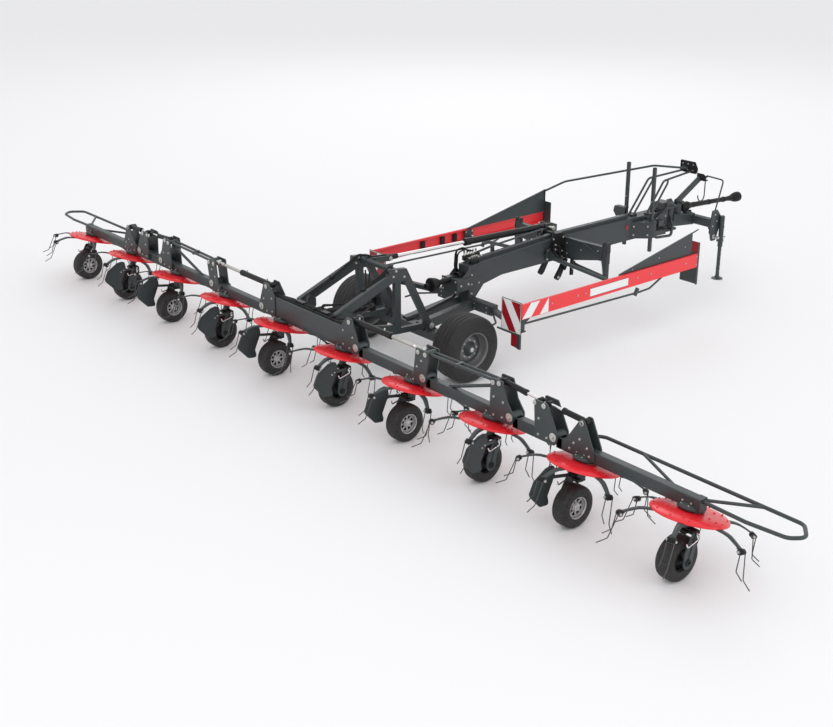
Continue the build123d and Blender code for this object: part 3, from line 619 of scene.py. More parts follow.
# Rotor wheels
rotorWheel = {
    "radius": 0.2055,
    "halfWidth": 0.083,
    "tyreSide": (
        # distance from the middle, radius: tread to bead
        (0.0, 0.2055), (0.012, 0.2055), (0.0125, 0.2046), (0.0155, 0.2046), (0.016, 0.2055),
        (0.036, 0.2050), (0.0365, 0.2041), (0.0395, 0.2037), (0.040, 0.2045), (0.054, 0.2025),
        (0.066, 0.1965), (0.076, 0.1850), (0.0815, 0.1680), (0.083, 0.1500), (0.0815, 0.1320),
        (0.077, 0.1180), (0.072, 0.1100), (0.068, 0.1040),
    ),
    "rimHoles": 8,
    "hubBolts": 5,
    "hubBoltCircle": 0.028,
}


def mirroredProfile(side):
    return [(-far, radius) for far, radius in reversed(side)] + list(side[1:])


def buildRotorWheelMesh():
    maker = Shaper("rotorWheelTyreAndRim", "rubber")
    outer = mirroredProfile(rotorWheel["tyreSide"])
    maker.turned(outer + [(0.060, 0.098), (-0.060, 0.098)], (0, 0, 0), alongX, 56, closed=True)
    maker.paint("rim")  # open side, away from the leg
    maker.turned(
        (
            (0.073, 0.1085), (0.075, 0.104), (0.069, 0.100), (0.050, 0.097), (0.030, 0.095), (0.004, 0.094),
            (0.004, 0.101), (0.060, 0.104),
        ),
        (0, 0, 0), alongX, 56, closed=True,
    )
    maker.turned(
        ((0.034, 0.096), (0.040, 0.082), (0.044, 0.082), (0.038, 0.097)), (0, 0, 0), alongX, 48,
        closed=True,
    )
    maker.turned(
        ((0.036, 0.046), (0.052, 0.034), (0.056, 0.034), (0.042, 0.050)), (0, 0, 0), alongX, 48,
        closed=True,
    )
    for spot in range(rotorWheel["rimHoles"]):
        maker.within(Matrix.Rotation(2 * math.pi / rotorWheel["rimHoles"] * spot, 4, "X"))
        maker.loft([
            [(0.037, -0.011, 0.044), (0.037, 0.011, 0.044), (0.042, 0.011, 0.044), (0.042, -0.011, 0.044)],
            [(0.037, -0.011, 0.086), (0.037, 0.011, 0.086), (0.042, 0.011, 0.086), (0.042, -0.011, 0.086)],
        ])
    maker.within()
    maker.turned(((0.030, 0.036), (0.058, 0.036), (0.062, 0.030), (0.064, 0.012)), (0, 0, 0), alongX, 28)
    maker.paint("zinc")
    circle = rotorWheel["hubBoltCircle"]
    for spot in range(rotorWheel["hubBolts"]):
        angle = 2 * math.pi * spot / rotorWheel["hubBolts"]
        maker.bolt((0.054, circle * math.cos(angle), circle * math.sin(angle)), alongX, 0.0055)
    maker.turned(((0.062, 0.013), (0.070, 0.013), (0.073, 0.009)), (0, 0, 0), alongX, 6)
    maker.paint("plastic")  # leg side: plain dark dish
    maker.turned(
        ((0.0, 0.093), (-0.040, 0.092), (-0.042, 0.050), (-0.058, 0.034), (-0.060, 0.016)), (0, 0, 0),
        alongX, 48,
    )
    maker.turned(
        (
            (-0.073, 0.1085), (-0.075, 0.104), (-0.069, 0.100), (-0.004, 0.094), (-0.004, 0.101),
            (-0.060, 0.104),
        ),
        (0, 0, 0), alongX, 56, closed=True,
    )
    return maker.mesh()


def buildRotorWheels():
    shared = buildRotorWheelMesh()
    for number in rotorNumbers:
        matrix = Matrix.Translation((rotorX(number), rowY, rotorWheel["radius"]))
        if number % 2 == 0:
            matrix = matrix @ Matrix.Rotation(math.pi, 4, "Z")
        placed = shared.copy()
        placed.transform(matrix)
        placeMesh(f"rotorWheel.{number:02d}", placed, f"rotor_wheel_{number}", edge=0)


buildRotorWheels()
print("rotor wheels ready")

# Main wheels
mainWheel = {
    "centre": (0.960, axleY, 0.400),
    "tyreSide": (
        (0.0, 0.4000), (0.028, 0.4000), (0.029, 0.3966), (0.037, 0.3966), (0.038, 0.3998), (0.080, 0.3985),
        (0.081, 0.3954), (0.089, 0.3950), (0.090, 0.3975), (0.118, 0.3940), (0.140, 0.3850),
        (0.158, 0.3690), (0.170, 0.3460), (0.1775, 0.3150), (0.180, 0.2860), (0.1775, 0.2580),
        (0.171, 0.2360), (0.163, 0.2200), (0.158, 0.2120), (0.156, 0.2060),
    ),
    "nuts": 8,
    "nutCircle": 0.107,
}


def buildMainWheels():
    for hand, side in (("left", -1), ("right", 1)):
        centre = (side * mainWheel["centre"][0], mainWheel["centre"][1], mainWheel["centre"][2])
        place = Matrix.Translation(centre) @ (mirrorX if side < 0 else Matrix.Identity(4))
        tyre = Shaper(f"mainTyre.{hand}", "rubber", place)
        outer = mirroredProfile(mainWheel["tyreSide"])
        tyre.turned(outer + [(0.120, 0.2055), (-0.120, 0.2055)], (0, 0, 0), alongX, 96, closed=True)
        tyre.place(f"main_tyre_{hand}", edge=0)
        rim = Shaper(f"mainRim.{hand}", "wheelGrey", place)
        rim.turned(
            (
                (0.160, 0.2180), (0.165, 0.2130), (0.160, 0.2050), (0.150, 0.1990), (0.120, 0.1930),
                (0.080, 0.1880), (0.072, 0.1780), (0.040, 0.1740), (0.020, 0.1740), (0.020, 0.1850),
                (0.060, 0.1960), (0.110, 0.2040), (0.150, 0.2050),
            ),
            (0, 0, 0), alongX, 72, closed=True,
        )
        rim.turned(
            (
                (0.046, 0.176), (0.052, 0.150), (0.070, 0.128), (0.074, 0.090), (0.066, 0.085),
                (0.060, 0.126), (0.042, 0.146), (0.038, 0.176),
            ),
            (0, 0, 0), alongX, 64, closed=True,
        )
        rim.turned(
            (
                (-0.160, 0.2180), (-0.165, 0.2130), (-0.158, 0.2050), (-0.120, 0.1930), (0.030, 0.1740),
                (0.030, 0.1850), (-0.110, 0.2040), (-0.150, 0.2050),
            ),
            (0, 0, 0), alongX, 72, closed=True,
        )
        rim.paint("frame")
        rim.turned(
            (
                (-0.060, 0.070), (0.070, 0.092), (0.078, 0.088), (0.080, 0.058), (0.118, 0.054),
                (0.124, 0.044),
            ),
            (0, 0, 0), alongX, 40,
        )
        rim.paint("zinc")
        circle = mainWheel["nutCircle"]
        for spot in range(mainWheel["nuts"]):
            angle = 2 * math.pi * spot / mainWheel["nuts"]
            rim.bolt((0.0735, circle * math.cos(angle), circle * math.sin(angle)), alongX, 0.011)
        rim.turned(((0.118, 0.030), (0.128, 0.028), (0.131, 0.020)), (0, 0, 0), alongX, 24)
        rim.place(f"main_rim_{hand}", edge=0)


buildMainWheels()
print("main wheels ready")

# Sections of the row
beam = {"width": 0.090, "low": 0.646, "high": 0.762, "corner": 0.012}
fork = {"inside": 0.128, "thick": 0.014, "low": 0.672, "boss": 0.050, "pin": 0.024, "pinHead": 0.043}
lugPin = {"pin": 0.016, "head": 0.026, "bigHead": 0.028, "smallHead": 0.022}
leg = {"gap": 0.026, "thick": 0.014, "headY": rowY + 0.092, "headZ": 0.452, "guardGap": 0.038}
housing = {"bolts": 8, "boltCircle": 0.104, "boltZ": 0.070}
forkMiddle = (fork["inside"] + fork["thick"]) / 2
forkOuter = fork["inside"] / 2 + fork["thick"]
pinReach = forkOuter + 0.004
outerLug = {"middle": 0.052, "thick": 0.014, "pinReach": 0.075}
shortCylinder = {
    # the hinge it works, its base eye and its rod eye: distance from the hinge, height
    "middle_cylinder": (linkHingeX, (-0.150, lugZ + 0.034), (0.330, lugZ)),
    "outer_cylinder": (outerHingeX, (0.325, lugZ - 0.022), (-0.130, lugZ)),
}


def shortEyes(node):
    # Places of both eyes on the right wing
    hinge, *ends = shortCylinder[node]
    return [Vector((hinge + far, beamY, z)) for far, z in ends]


def addStation(maker, x, side, guarded):
    # Gear housing, leg through the plate, wheel leg and wheel guard
    maker.within(rotorFrame(x))
    maker.paint("frame")
    maker.turned(
        (
            (0.030, 0.108), (0.033, 0.118), (0.046, 0.122), (0.060, 0.120), (0.074, 0.106), (0.092, 0.078),
            (0.100, 0.070),
        ),
        (0, 0, 0), alongZ, 40,
    )
    count, circle, height = housing["bolts"], housing["boltCircle"], housing["boltZ"]
    ring = [math.radians(360 / count * spot + 20) for spot in range(count)]
    maker.bolts([(circle * math.cos(a), circle * math.sin(a), height) for a in ring], alongZ, 0.007)
    maker.turned(((-0.140, 0.034), (-0.138, 0.040), (0.040, 0.041), (0.044, 0.036)), (0, 0, 0), alongZ, 24)
    maker.turned(((-0.086, 0.046), (-0.080, 0.052), (-0.062, 0.052), (-0.056, 0.046)), (0, 0, 0), alongZ, 24)
    maker.within()
    # saddle that hangs the housing from the beam
    for way in (-1, 1):
        maker.rowPlate(
            [
                (x - 0.085, beam["low"] - 0.024), (x + 0.085, beam["low"] - 0.024),
                (x + 0.062, beam["low"] + 0.080), (x - 0.062, beam["low"] + 0.080),
            ],
            beamY + way * (beam["width"] / 2 + 0.005), 0.010,
        )
        spots = [
            (x + dx, beamY + way * (beam["width"] / 2 + 0.010), beam["low"] + dz)
            for dx, dz in ((-0.045, 0.058), (0.045, 0.058), (-0.058, 0.012), (0.058, 0.012))
        ]
        maker.bolts(spots, (0, way, 0), 0.008)
    maker.bar(
        (x - 0.085, beamY, beam["low"] - 0.010), (x + 0.085, beamY, beam["low"] - 0.010), 0.110, 0.024,
        alongY,
    )
    legX = x + side * (rotorWheel["halfWidth"] + leg["gap"] + leg["thick"] / 2)
    headY, headZ = leg["headY"], leg["headZ"]
    maker.paint("hinge")
    maker.bar(
        (x - side * 0.030, headY, headZ), (legX + side * 0.010, headY, headZ), 0.064, 0.044, alongY,
        0.008,
    )
    maker.bar(
        (x - side * 0.030, headY - 0.050, headZ - 0.004), (x + side * 0.050, headY - 0.050, headZ - 0.004),
        0.040, 0.030, alongY, 0.005,
    )
    maker.paint("frame")
    maker.sidePlate(
        [
            (headY - 0.044, headZ + 0.026), (headY + 0.034, headZ + 0.026), (headY + 0.036, headZ - 0.070),
            (rowY + 0.072, 0.290), (rowY + 0.060, 0.180), (rowY + 0.020, 0.140), (rowY - 0.030, 0.146),
            (rowY - 0.058, 0.190), (rowY - 0.052, 0.300),
        ],
        legX, leg["thick"], 0.030,
    )
    maker.sidePlate(
        [(headY - 0.030, headZ), (headY + 0.020, headZ), (rowY + 0.040, 0.215), (rowY - 0.010, 0.215)],
        legX + side * 0.010, 0.008, 0.016,
    )
    hubX = legX + side * leg["thick"] / 2
    maker.paint("hinge")
    hub = Vector((hubX, rowY, rotorWheel["radius"]))
    maker.turned(((0, 0.036), (0.010, 0.034), (0.013, 0.026)), hub, (side, 0, 0), 24)
    maker.rod(hub, (side, 0, 0), 0, -0.085, 0.014, 16)
    maker.bolts([hub + alongX * side * 0.012], (side, 0, 0), 0.012, "hinge")
    maker.bolts(
        [(hubX, headY - 0.014, headZ + 0.004), (hubX, headY + 0.014, headZ - 0.030)], (side, 0, 0), 0.008,
    )
    # adjusting handle
    maker.paint("chrome")
    handleX = legX + side * 0.026
    maker.tube(
        [
            (handleX - side * 0.020, rowY + 0.082, 0.448), (handleX, rowY + 0.088, 0.405),
            (handleX, rowY - 0.052, 0.372), (handleX - side * 0.004, rowY - 0.062, 0.412),
        ],
        0.0075, 10, 0.020,
    )
    maker.rod((handleX - side * 0.014, rowY + 0.078, 0.462), (side, 0, 0), 0, 0.030, 0.010, 14)
    if guarded:
        guardX = legX + side * leg["guardGap"]
        maker.paint("frame")
        maker.sidePlate(
            [
                (rowY - 0.086, 0.486), (rowY - 0.100, 0.580), (rowY - 0.150, 0.596), (rowY - 0.215, 0.586),
                (rowY - 0.360, 0.500), (rowY - 0.412, 0.392), (rowY - 0.395, 0.350), (rowY - 0.270, 0.216),
                (rowY - 0.150, 0.200), (rowY - 0.172, 0.300),
            ],
            guardX, 0.006, 0.030,
        )
        maker.sidePlate(
            [
                (rowY - 0.110, 0.480), (rowY - 0.122, 0.560), (rowY - 0.205, 0.566), (rowY - 0.340, 0.485),
                (rowY - 0.384, 0.392), (rowY - 0.262, 0.240), (rowY - 0.176, 0.226), (rowY - 0.196, 0.300),
            ],
            guardX, 0.014, 0.030,
        )
        maker.bar((legX, rowY + 0.062, 0.450), (guardX, rowY - 0.110, 0.470), 0.030, 0.014, alongZ)
        maker.bolts(
            [(guardX + side * 0.007, rowY - 0.128, 0.470), (guardX + side * 0.007, rowY - 0.165, 0.452)],
            (side, 0, 0), 0.008,
        )


def addPin(maker, x, z, head, radius=0.0, steps=20):
    # Heads of a pin on both faces of a fork, and the pin between them where it shows
    if radius:
        maker.rod((x, beamY, z), alongY, -pinReach, pinReach, radius, steps)
    maker.pinEnds(x, z, beamY - forkOuter, beamY + forkOuter, head)


def addFork(maker, x, reach, top, bolts):
    # Plates at the outer end of a section, their pin and spacers
    maker.paint("frame")
    for way in (-1, 1):
        outline = [
            (x - reach, fork["low"]), (x + 0.012, fork["low"]), (x + 0.050, hingeZ - 0.034),
            (x + 0.050, hingeZ + 0.030),
        ] + list(top)
        maker.rowPlate(outline, beamY + way * forkMiddle, fork["thick"], 0.022)
        spacerY = beamY + way * 0.0545
        maker.bar(
            (x - reach + 0.006, spacerY, 0.717), (x - reach + 0.086, spacerY, 0.717), 0.019, 0.088,
            alongY,
        )
        maker.bolts([(bx, beamY + way * forkOuter, bz) for bx, bz in bolts], (0, way, 0), 0.010)
    addPin(maker, x, hingeZ, fork["pinHead"], fork["pin"], 24)


def addTongue(maker, x):
    # Inner end of a section, which turns in the fork of the one before
    maker.paint("frame")
    half = fork["inside"] / 2 - 0.004
    middle = (beam["low"] + beam["high"]) / 2
    maker.rod((x, beamY, hingeZ), alongY, -half, half, fork["boss"], 28)
    maker.bar(
        (x + 0.010, beamY, middle), (x + 0.080, beamY, middle), beam["width"], beam["high"] - beam["low"],
        alongY, 0.008,
    )


def addBeam(maker, start, end):
    maker.paint("frame")
    middle = (beam["low"] + beam["high"]) / 2
    maker.bar(
        (start, beamY, middle), (end, beamY, middle), beam["width"], beam["high"] - beam["low"], alongY,
        beam["corner"],
    )


def addEye(maker, x, z, radius, half, finish="frame"):
    # Eye that lies along Y
    maker.paint(finish)
    maker.rod((x, beamY, z), alongY, -half, half, radius)


def buildCentreSection():
    maker = Shaper("rowCentreBeam", "frame")
    maker.bar((-0.800, beamY, 0.815), (0.800, beamY, 0.815), 0.130, 0.230, alongY, 0.014)
    for way in (-1, 1):
        for side in (-1, 1):
            maker.paint("frame")
            maker.rowPlate(
                [
                    (way * 0.640, 0.690), (way * 0.922, 0.672), (way * 0.960, 0.721), (way * 0.960, 0.785),
                    (way * 0.852, 1.062), (way * 0.748, 1.062), (way * 0.636, 0.930),
                ],
                beamY + side * forkMiddle, fork["thick"], 0.024,
            )
            spots = [
                (way * bx, beamY + side * forkOuter, bz)
                for bx, bz in ((0.690, 0.900), (0.690, 0.740), (0.800, 0.720), (0.860, 0.860))
            ]
            maker.bolts(spots, (0, side, 0), 0.010)
        addPin(maker, way * wingHingeX, hingeZ, fork["pinHead"], fork["pin"], 24)
        addPin(maker, way * wingLugX, lugZ, lugPin["bigHead"], lugPin["pin"])
        addStation(maker, way * rotorX(6), way, True)
    maker.paint("frame")
    maker.bar((-0.640, beamY, 0.680), (0.640, beamY, 0.680), 0.070, 0.060, alongY, 0.008)
    maker.paint("hinge")
    maker.bar((-0.110, beamY + 0.135, 0.815), (0.110, beamY + 0.135, 0.815), 0.150, 0.170, alongY, 0.016)
    maker.turned(
        ((-0.010, 0.040), (0.030, 0.044), (0.036, 0.040), (0.070, 0.034)), (0, beamY + 0.210, 0.815),
        alongY, 28,
    )
    maker.bolts(
        [(dx, beamY + 0.210, 0.815 + dz) for dx in (-0.085, 0.085) for dz in (-0.06, 0.06)], alongY, 0.010,
    )
    # valve blocks and the lines that lie on the beam
    maker.bar((-0.300, beamY + 0.020, 0.948), (-0.160, beamY + 0.020, 0.948), 0.060, 0.040, alongY, 0.004)
    maker.bar((0.180, beamY + 0.020, 0.948), (0.300, beamY + 0.020, 0.948), 0.060, 0.040, alongY, 0.004)
    maker.paint("hose")
    for row in range(3):
        y = beamY - 0.030 + row * 0.022
        maker.tube(
            [(-0.740, y, 0.950), (-0.600, y, 0.940), (0.600, y, 0.940), (0.740, y, 0.955)], 0.0085, 8, 0.05,
        )
    maker.place("centre_section", edge=0.0025)


def buildWings():
    for hand, base in bothHands:
        maker = Shaper(f"innerBeam.{hand}", "frame", base)
        x = middleHingeX
        addBeam(maker, wingHingeX + 0.020, x - 0.070)
        addTongue(maker, wingHingeX)
        addFork(
            maker, x, 0.190,
            [
                (x + 0.084, lugZ - 0.030), (x + 0.084, lugZ + 0.038), (x - 0.110, lugZ + 0.038),
                (x - 0.150, 0.762), (x - 0.190, 0.762),
            ],
            ((x - 0.150, 0.700), (x - 0.090, 0.860), (x - 0.020, 0.940)),
        )
        for far in (-0.070, 0.040):
            addPin(maker, x + far, lugZ, lugPin["head"])
        addStation(maker, rotorX(7), -1, True)
        maker.place(f"inner_section_{hand}", edge=0.0025)

        maker = Shaper(f"middleBeam.{hand}", "frame", base)
        x = linkHingeX
        addBeam(maker, middleHingeX + 0.020, x - 0.070)
        addTongue(maker, middleHingeX)
        addFork(
            maker, x, 0.270,
            [(x - 0.040, 0.900), (x - 0.105, lugZ + 0.064), (x - 0.268, lugZ + 0.064), (x - 0.278, 0.762)],
            ((x - 0.220, 0.710), (x - 0.220, 0.900), (x - 0.100, 0.720), (x - 0.090, 0.880)),
        )
        maker.paint("frame")
        start, end = middleHingeX + 0.040, x - 0.232
        for dy in (-0.034, 0.034):
            maker.tube([(start, beamY + dy, lugZ), (end, beamY + dy, lugZ + 0.020)], 0.016, 14)
        maker.tube([(middleHingeX + 0.330, beamY, 0.752), (end, beamY, lugZ - 0.030)], 0.018, 14)
        maker.bar(
            (start + 0.42, beamY, lugZ + 0.006), (start + 0.45, beamY, lugZ + 0.006), 0.100, 0.040,
            alongY,
        )
        addEye(maker, start, lugZ, 0.034, 0.052)
        addEye(maker, end, lugZ + 0.020, 0.026, 0.064)
        eye = shortEyes("middle_cylinder")[0]
        addPin(maker, eye.x, eye.z, lugPin["head"], lugPin["pin"])
        addPin(maker, end, lugZ + 0.020, lugPin["head"])
        addStation(maker, rotorX(8), 1, True)
        maker.place(f"middle_section_{hand}", edge=0.0025)

        maker = Shaper(f"linkBeam.{hand}", "frame", base)
        x = outerHingeX
        addBeam(maker, linkHingeX + 0.020, x - 0.070)
        addTongue(maker, linkHingeX)
        addFork(
            maker, x, 0.240,
            [(x - 0.090, lugZ + 0.030), (x - 0.260, lugZ + 0.030), (x - 0.240, 0.762)],
            ((x - 0.190, 0.720), (x - 0.190, 0.880), (x - 0.080, 0.720)),
        )
        for node, head in (("outer_cylinder", lugPin["head"]), ("middle_cylinder", lugPin["smallHead"])):
            eye = shortEyes(node)[1]
            addPin(maker, eye.x, eye.z, head)
        maker.place(f"link_section_{hand}", edge=0.0025)

        maker = Shaper(f"outerBeam.{hand}", "frame", base)
        endX = rotorX(10) + 0.120
        lugFace = outerLug["middle"] + outerLug["thick"] / 2
        addBeam(maker, x + 0.020, endX)
        addTongue(maker, x)
        for way in (-1, 1):
            maker.paint("frame")
            maker.rowPlate(
                [
                    (x + 0.130, fork["low"]), (x + 0.500, fork["low"]), (x + 0.470, 0.782),
                    (x + 0.350, lugZ + 0.008), (x + 0.300, lugZ + 0.008), (x + 0.130, 0.772),
                ],
                beamY + way * outerLug["middle"], outerLug["thick"], 0.020,
            )
            spots = [
                (x + dx, beamY + way * lugFace, z)
                for dx, z in (
                    (0.190, 0.710), (0.430, 0.710), (0.310, 0.840), (0.240, 0.780), (0.400, 0.780),
                )
            ]
            maker.bolts(spots, (0, way, 0), 0.010)
        eye = shortEyes("outer_cylinder")[0]
        maker.rod(eye, alongY, -outerLug["pinReach"], outerLug["pinReach"], lugPin["pin"], 20)
        maker.pinEnds(eye.x, eye.z, beamY - lugFace, beamY + lugFace, lugPin["head"])
        addStation(maker, rotorX(9), -1, True)
        addStation(maker, rotorX(10), 1, False)
        maker.paint("frame")
        bowFront, bowZ = rowY + 0.455, 0.735
        maker.tube(
            [
                (x + 0.110, beamY + 0.020, bowZ + 0.020), (x + 0.250, bowFront, bowZ),
                (6.290, bowFront - 0.020, bowZ), (6.424, bowFront - 0.190, bowZ), (6.330, rowY + 0.150, bowZ),
                (5.960, rowY + 0.112, bowZ), (endX - 0.020, beamY, bowZ),
            ],
            0.0175, 14, 0.11, 6,
        )
        for start, startY, end in ((4.600, bowFront, 5.240), (5.920, bowFront - 0.010, 5.500)):
            maker.tube([(start, startY, bowZ), (end, beamY + 0.020, bowZ)], 0.015, 12)
        maker.bar((endX - 0.060, beamY, 0.704), (endX + 0.010, beamY, 0.704), 0.098, 0.124, alongY, 0.012)
        maker.place(f"outer_section_{hand}", edge=0.0025)


buildCentreSection()
buildWings()
print("row sections ready")

# Cylinders
wingCylinder = {"base": wingLugX, "middle": 1.440, "eye": 1.960, "rod": 0.0165}
sleeve = {"points": 301, "start": 0.012, "turn": 0.63, "rise": 0.0012, "wire": 0.0035}
liftCylinder = {
    "base": Vector((-0.205, rowY + 4.060, 1.160)),
    "eye": Vector((-0.205, rowY + 1.400, 1.250)),
    "barrel": 1.440,
}


def buildWingCylinders(hand, base):
    baseX, middle, eye = wingCylinder["base"], wingCylinder["middle"], wingCylinder["eye"]
    maker = Shaper(f"wingBarrel.{hand}", "hinge", base)
    addEye(maker, baseX, lugZ, 0.034, 0.028, "hinge")
    maker.turned(
        (
            (0.020, 0.022), (0.040, 0.030), (0.060, 0.033), (0.560, 0.033), (0.562, 0.036), (0.636, 0.036),
            (0.640, 0.030),
        ),
        (baseX, beamY, lugZ), alongX, 28,
    )
    maker.paint("zinc")
    for far in (0.090, 0.520):
        maker.rod((baseX + far, beamY, lugZ + 0.030), alongZ, 0, 0.026, 0.009, 10)
    maker.place(f"wing_barrel_{hand}", edge=0.0015)
    maker = Shaper(f"wingRod.{hand}", "chrome", base)
    maker.rod((middle, beamY, lugZ), alongX, -0.080, 0.496, wingCylinder["rod"])
    # helix wound round the rod, which gives the ribbed look of its sleeve
    maker.paint("zinc")
    winding = wingCylinder["rod"] + 0.001
    helix = []
    for step in range(sleeve["points"]):
        angle = step * sleeve["turn"]
        along = alongX * (sleeve["start"] + sleeve["rise"] * step)
        across = (alongY * math.cos(angle) + alongZ * math.sin(angle)) * winding
        helix.append(Vector((middle, beamY, lugZ)) + along + across)
    maker.tube(helix, sleeve["wire"], 6)
    maker.turned(
        ((0.400, 0.019), (0.410, 0.024), (0.450, 0.024), (0.496, 0.019)), (middle, beamY, lugZ), alongX, 6,
    )
    addEye(maker, eye, lugZ, 0.032, 0.028, "zinc")
    maker.place(f"wing_rod_{hand}", edge=0)


def buildShortCylinder(node, hand, base):
    start, end = shortEyes(node)
    maker = Shaper(f"{node}.dressed.{hand}", "hinge", base)
    reach = (end - start).length
    addEye(maker, start.x, start.z, 0.034, 0.026, "hinge")
    addEye(maker, end.x, end.z, 0.028, 0.026, "hinge")
    profile = (
        (0.018, 0.020), (0.040, 0.029), (0.56 * reach, 0.029), (0.565 * reach, 0.032), (0.62 * reach, 0.032),
    )
    maker.turned(profile, start, end - start, 24)
    maker.paint("chrome")
    maker.rod(start, end - start, 0.60 * reach, reach - 0.020, 0.014, 20)
    maker.place(f"{node}_{hand}", edge=0.0015)


def buildLiftCylinder():
    base, eye = liftCylinder["base"], liftCylinder["eye"]
    unit = (base - eye).normalized()
    mouth = base - unit * liftCylinder["barrel"]
    maker = Shaper("liftBarrel", "hinge")
    maker.rod(base, alongX, -0.044, 0.044, 0.042, 28)
    maker.turned(
        (
            (0.020, 0.030), (0.050, 0.042), (0.080, 0.044), (1.340, 0.044), (1.342, 0.049), (1.436, 0.049),
            (liftCylinder["barrel"], 0.040),
        ),
        base, -unit, 32,
    )
    maker.paint("zinc")
    for far in (0.120, 1.300):
        maker.rod(base - unit * far + alongZ * 0.040, alongZ, 0, 0.030, 0.011, 10)
    maker.place("lift_barrel", edge=0.0015)
    maker = Shaper("liftRod", "chrome")
    maker.rod(mouth, unit, 0.060, 0.100 - (mouth - eye).length, 0.0225, 28)
    maker.paint("hinge")
    maker.turned(((0.030, 0.034), (0.130, 0.034), (0.140, 0.026)), eye, unit, 28)
    maker.rod(eye, alongX, -0.030, 0.030, 0.040, 28)
    maker.place("lift_rod", edge=0.0015)


for hand, base in bothHands:
    buildWingCylinders(hand, base)
    for node in shortCylinder:
        buildShortCylinder(node, hand, base)
buildLiftCylinder()
print("cylinders ready")

# Side guards
guard = {
    "outside": 1.415,
    "film": 0.0012,  # thickness of the stripes and bands
    "rear": 2.060,
    "front": 5.250,
    "low": 0.750,
    "high": 0.930,
    "stripes": (
        # corners on the outer face: distance from the rear end, height over the bar's foot
        ((0.008, 0.004), (0.150, 0.004), (0.285, 0.176), (0.143, 0.176)),
        ((0.292, 0.004), (0.430, 0.004), (0.430, 0.176), (0.424, 0.176)),
    ),
    "board": (1.080, 1.410, 0.560, 0.950),
    "tail": (1.250, 1.410, 0.380, 0.556),
    "bands": (
        # dark red on the white board, as shares of its width and height
        ((0.0, 0.50), (0.40, 0.0), (0.80, 0.0), (0.05, 1.0), (0.0, 1.0)),
        ((0.48, 1.0), (1.0, 1.0), (1.0, 0.35)),
    ),
    "strip": (3.200, 3.880, 0.786, 0.882),
    "brackets": (2.950, 3.300, 3.520),
    "bolts": (2.550, 2.980, 3.120, 4.050, 4.300, 4.980),
    "sheetEnd": {"right": 5.120, "left": 5.244},
}


def at(x, y, z):
    # A place whose second value counts from the row of wheels
    return Vector((x, rowY + y, z))


def warningBoard(maker, y, way):
    # White board with dark red bands; way is the side that it faces
    inner, outer, low, high = guard["board"]
    edge = 0.006
    maker.paint("frame")
    maker.crossPlate([(inner, low), (outer, low), (outer, high), (inner, high)], y, 0.009, 0.006)
    maker.paint("signWhite")
    y += way * 0.0052
    maker.crossPlate(
        [
            (inner + edge, low + edge), (outer - edge, low + edge), (outer - edge, high - edge),
            (inner + edge, high - edge),
        ],
        y, 0.0016, 0.004,
    )
    maker.paint("darkRed")
    for band in guard["bands"]:
        outline = [
            (
                inner + 2 * edge + u * (outer - inner - 4 * edge),
                low + 2 * edge + v * (high - low - 4 * edge),
            )
            for u, v in band
        ]
        maker.crossPlate(outline, y + way * guard["film"], guard["film"], 0)
    maker.bolts([at(outer - 0.025, y, z) for z in (low + 0.06, high - 0.05)], (0, way, 0), 0.006)


